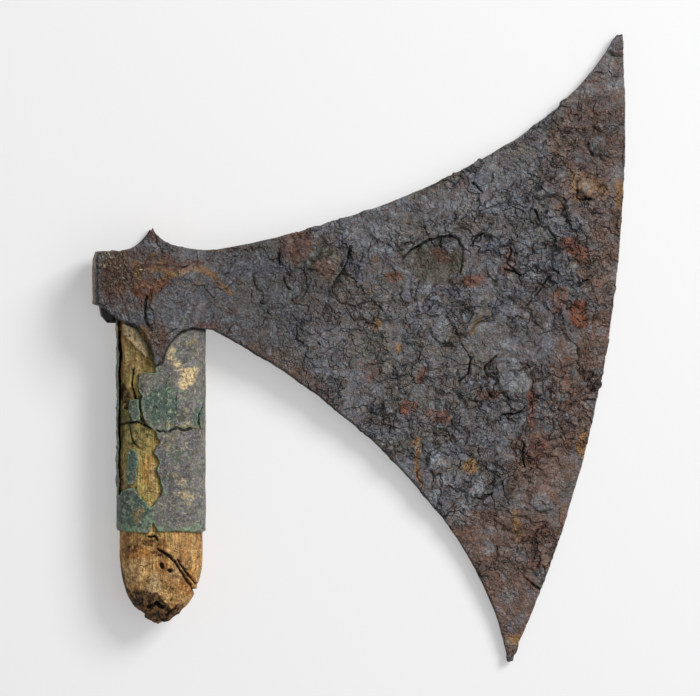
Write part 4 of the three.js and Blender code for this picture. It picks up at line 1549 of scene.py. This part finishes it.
@dataclass
class SheetPiece:
    """The torn brass sheet, or one of its scraps."""

    node: str
    fine: float = 0.7
    coarse: float = 2.4
    ragged: float = 0.55
    crack_depth: float = 0.5
    rim_lift: float = 0.12
    front: float = 12.0
    marks: tuple[Patch | Streak, ...] = (
        *patches(
            Stain.GREEN,
            (-78.0, -23.0, 7.5, 9.0, 0.85), (-90.5, -64.5, 7.0, 8.0), (-86.0, -67.0, 5.0, 4.0, 0.7),
            (-64.0, -27.0, 2.6, 5.0, 0.8), (-92.0, -47.0, 4.0, 9.0, 0.9), (-89.5, -24.5, 4.0, 6.0, 0.7),
            (-72.0, -44.3, 0.9, 0.7),
        ),
        *patches(
            Stain.GOLD,
            (-74.6, 0.6, 1.8, 2.0, 0.8), (-74.8, -2.4, 1.0, 2.6, 0.7), (-71.5, -6.6, 1.4, 2.2, 0.9, 25),
            (-67.4, -11.0, 3.8, 3.8), (-69.6, -14.4, 1.8, 1.6, 0.9), (-76.0, -40.0, 2.0, 2.0, 0.5),
            (-70.6, -53.0, 2.6, 2.2, 0.55), (-68.8, -59.0, 4.0, 3.6, 0.6),
            (-69.0, -29.2, 2.4, 1.4, 0.6),
        ),
        *patches(
            Stain.SAND,
            (-70.0, -31.6, 8.0, 0.9, 0.9), (-88.0, -66.0, 3.0, 3.0, 0.6), (-66.0, 3.0, 3.0, 2.0, 0.5),
        ),
        Streak(
            Stain.GOLD,
            ((-75.0, 1.0), (-74.6, -3.0), (-71.5, -6.5), (-68.5, -11.0), (-70.0, -14.5)),
            2.2, 0.55,
        ),
        Streak(
            Stain.RIM,
            ((-79.5, -22.0), (-77.0, -17.5), (-72.5, -16.3), (-66.0, -17.5), (-63.5, -21.0)),
            0.4, 0.7,
        ),
        Streak(
            Stain.RIM,
            ((-62.0, -20.0), (-63.6, -25.0), (-62.6, -31.5), (-70.0, -31.0), (-79.0, -32.0)),
            0.4, 0.7,
        ),
        Streak(
            Stain.RIM,
            (
                (-96.0, -69.5), (-86.0, -72.0), (-83.0, -66.0), (-81.0, -71.0), (-72.0, -72.8),
                (-63.0, -70.5),
            ),
            1.2, 0.65,
        ),
        Streak(Stain.GOLD, ((-93.0, 7.0), (-89.5, 3.0), (-85.8, -2.5)), 3.4, 1.0),
    )
    lines: tuple[Crack, ...] = (
        Crack(
            (
                (-80.2, -32.6), (-75.4, -33.2), (-72.2, -31.4), (-69.0, -32.4), (-66.6, -32.0),
                (-63.4, -31.4),
            ),
            0.55,
        ),
        Crack(((-67.2, -31.9), (-66.4, -32.0)), 1.0),
        Crack(((-62.0, -23.5), (-63.4, -26.0), (-63.6, -29.0), (-62.6, -32.0)), 0.3),
        Crack(((-72.2, -18.0), (-72.6, -31.0)), 0.25),
    )

    def build(self, material: bpy.types.Material) -> bpy.types.Object:
        """Makes this piece of sheet.

        Args:
            material: Its finish.

        Returns:
            The object.
        """
        noise = Noise(43)
        skin = Skin(self.node, self.fine, self.coarse, -0.1)
        rest = skin.rest
        rims = skin.near_edges(1.1, Vector((0.0, 0.0, 1.0)))
        inner = self._inner(skin)
        gap = skin.crack_gap(self.lines, noise)
        deep = self.crack_depth * (1.0 - smooth(0.1, 0.7, gap))
        dents = 0.22 * noise.layered(rest, 9.0, 3, 5) + 0.1 * noise.layered(rest, 2.0, 3, 15)
        height = np.clip(dents + self.rim_lift * rims - deep, -0.6, 0.3) * (1.0 - inner)
        skin.places = skin.places + skin.normals * height[:, None]
        flat = rest * [1, 1, 0.4]
        edge_sway = np.column_stack([noise.layered(flat, 2.6, 3, 25 + axis) for axis in (0, 1)])
        torn = skin.near_edges(4.0)
        skin.places[:, :2] += edge_sway * (self.ragged * torn * (rest[:, 2] > self.front))[:, None]
        for stain in (Stain.GREEN, Stain.GOLD, Stain.SAND):
            skin.paint(stain, skin.stained(self.marks, stain, noise))
        rim_noise = smooth(-0.7, 0.1, noise.layered(rest, 5.0, 3, 45))
        bare = skin.stained(self.marks, Stain.GOLD, noise)
        drawn = skin.stained(self.marks, Stain.RIM, noise)
        skin.paint(Stain.RIM, np.maximum(rims * rim_noise * (1.0 - bare), drawn))
        skin.paint(Stain.CRACK, 1.0 - gap / skin.CRACK_REACH)
        # Painted shade where the sheet meets the head.
        skin.paint(Stain.SHADE_AND_DARK_MARKS, skin.near_node("axe_head", 1.6))
        return skin.finish(material)

    @staticmethod
    def _inner(skin: Skin) -> Array:
        """Returns 1 for points on the inner side, which stays clear of the haft, and 0 for others."""
        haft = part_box("haft")
        middle = (np.array(haft[0]) + np.array(haft[1])) / 2 / MM
        outward = skin.rest - middle
        outward[:, 1] = 0.0
        facing = -np.einsum("ij,ij->i", skin.normals, outward) / np.linalg.norm(outward, axis=1)
        return smooth(0.1, 0.5, facing)


@dataclass(frozen=True)
class Lamp:
    """A square area light that points at the axe: its name, its place and side in metres, and its watts."""

    name: str
    place: tuple[float, float, float]
    size: float
    power: float


@dataclass
class Studio:
    """The pale floor, soft lights and long lens of a copy stand, in metres but for the lens and its aim.

    The floor glows a little by itself, in place of light from white walls, which would flatten the relief.
    """

    floor_size: float = 6.0
    floor_gap: float = 0.0002
    floor_colour: str = "CBCBCB"
    floor_glow: float = 0.34
    sky_glow: float = 0.22
    lamps: tuple[Lamp, ...] = (
        Lamp("key", (1.05, 0.9, 1.25), 0.75, 28.0),
        Lamp("top_fill", (1.0, -0.2, 2.0), 1.8, 12.0),
    )
    lens: float = 244.1
    distance: float = 1.9
    aim_x: float = -3.6
    aim_y: float = 0.0

    def floor(self) -> None:
        """Makes the floor."""
        mesh = bpy.data.meshes.new("floor")
        work = bmesh.new()
        bmesh.ops.create_grid(work, x_segments=4, y_segments=4, size=self.floor_size / 2)
        work.to_mesh(mesh)
        work.free()
        floor = bpy.data.objects.new("floor", mesh)
        bpy.context.scene.collection.objects.link(floor)
        floor.location.z = -self.floor_gap
        paint = bpy.data.materials.new("matt_white_board")
        paint.use_nodes = True
        shader = paint.node_tree.nodes["Principled BSDF"]
        shader.inputs["Base Color"].default_value = linear(self.floor_colour)
        shader.inputs["Roughness"].default_value = 0.9
        shader.inputs["Emission Color"].default_value = (1.0, 1.0, 1.0, 1.0)
        shader.inputs["Emission Strength"].default_value = self.floor_glow
        mesh.materials.append(paint)

    @staticmethod
    def light(lamp: Lamp) -> None:
        """Adds one light.

        Args:
            lamp: Its name, place, size and power.
        """
        data = bpy.data.lights.new(lamp.name, "AREA")
        data.size = lamp.size
        data.energy = lamp.power
        made = bpy.data.objects.new(lamp.name, data)
        made.location = lamp.place
        made.rotation_euler = (-Vector(lamp.place)).to_track_quat("-Z", "Y").to_euler()
        bpy.context.scene.collection.objects.link(made)

    def build(self) -> None:
        """Makes the floor, the lights and the camera."""
        self.floor()
        for lamp in self.lamps:
            self.light(lamp)
        world = bpy.data.worlds.new("studio")
        world.use_nodes = True
        sky = world.node_tree.nodes["Background"]
        sky.inputs["Color"].default_value = (1.0, 1.0, 1.0, 1.0)
        sky.inputs["Strength"].default_value = self.sky_glow
        scene = bpy.context.scene
        scene.world = world
        scene.view_settings.view_transform = "Standard"
        data = bpy.data.cameras.new("camera")
        data.lens = self.lens
        data.sensor_width = 36.0
        data.clip_start, data.clip_end = 0.05, 20.0
        camera = bpy.data.objects.new("camera", data)
        camera.location = (self.aim_x * MM, self.aim_y * MM, self.distance)
        scene.collection.objects.link(camera)
        scene.camera = camera


def main() -> None:
    """Builds the axe and the studio in order."""
    logging.basicConfig(level=logging.INFO, format="%(name)s: %(message)s")
    AxeHead().build(CorrodedIron().material())
    Haft().build(OldWood().material())
    brass = TarnishedBrass().material()
    for node in ("haft_sheet", "sheet_scrap_by_lobe", "sheet_scrap_middle", "sheet_scrap_strip"):
        SheetPiece(node).build(brass)
    Studio().build()


if __name__ == "__main__":
    main()
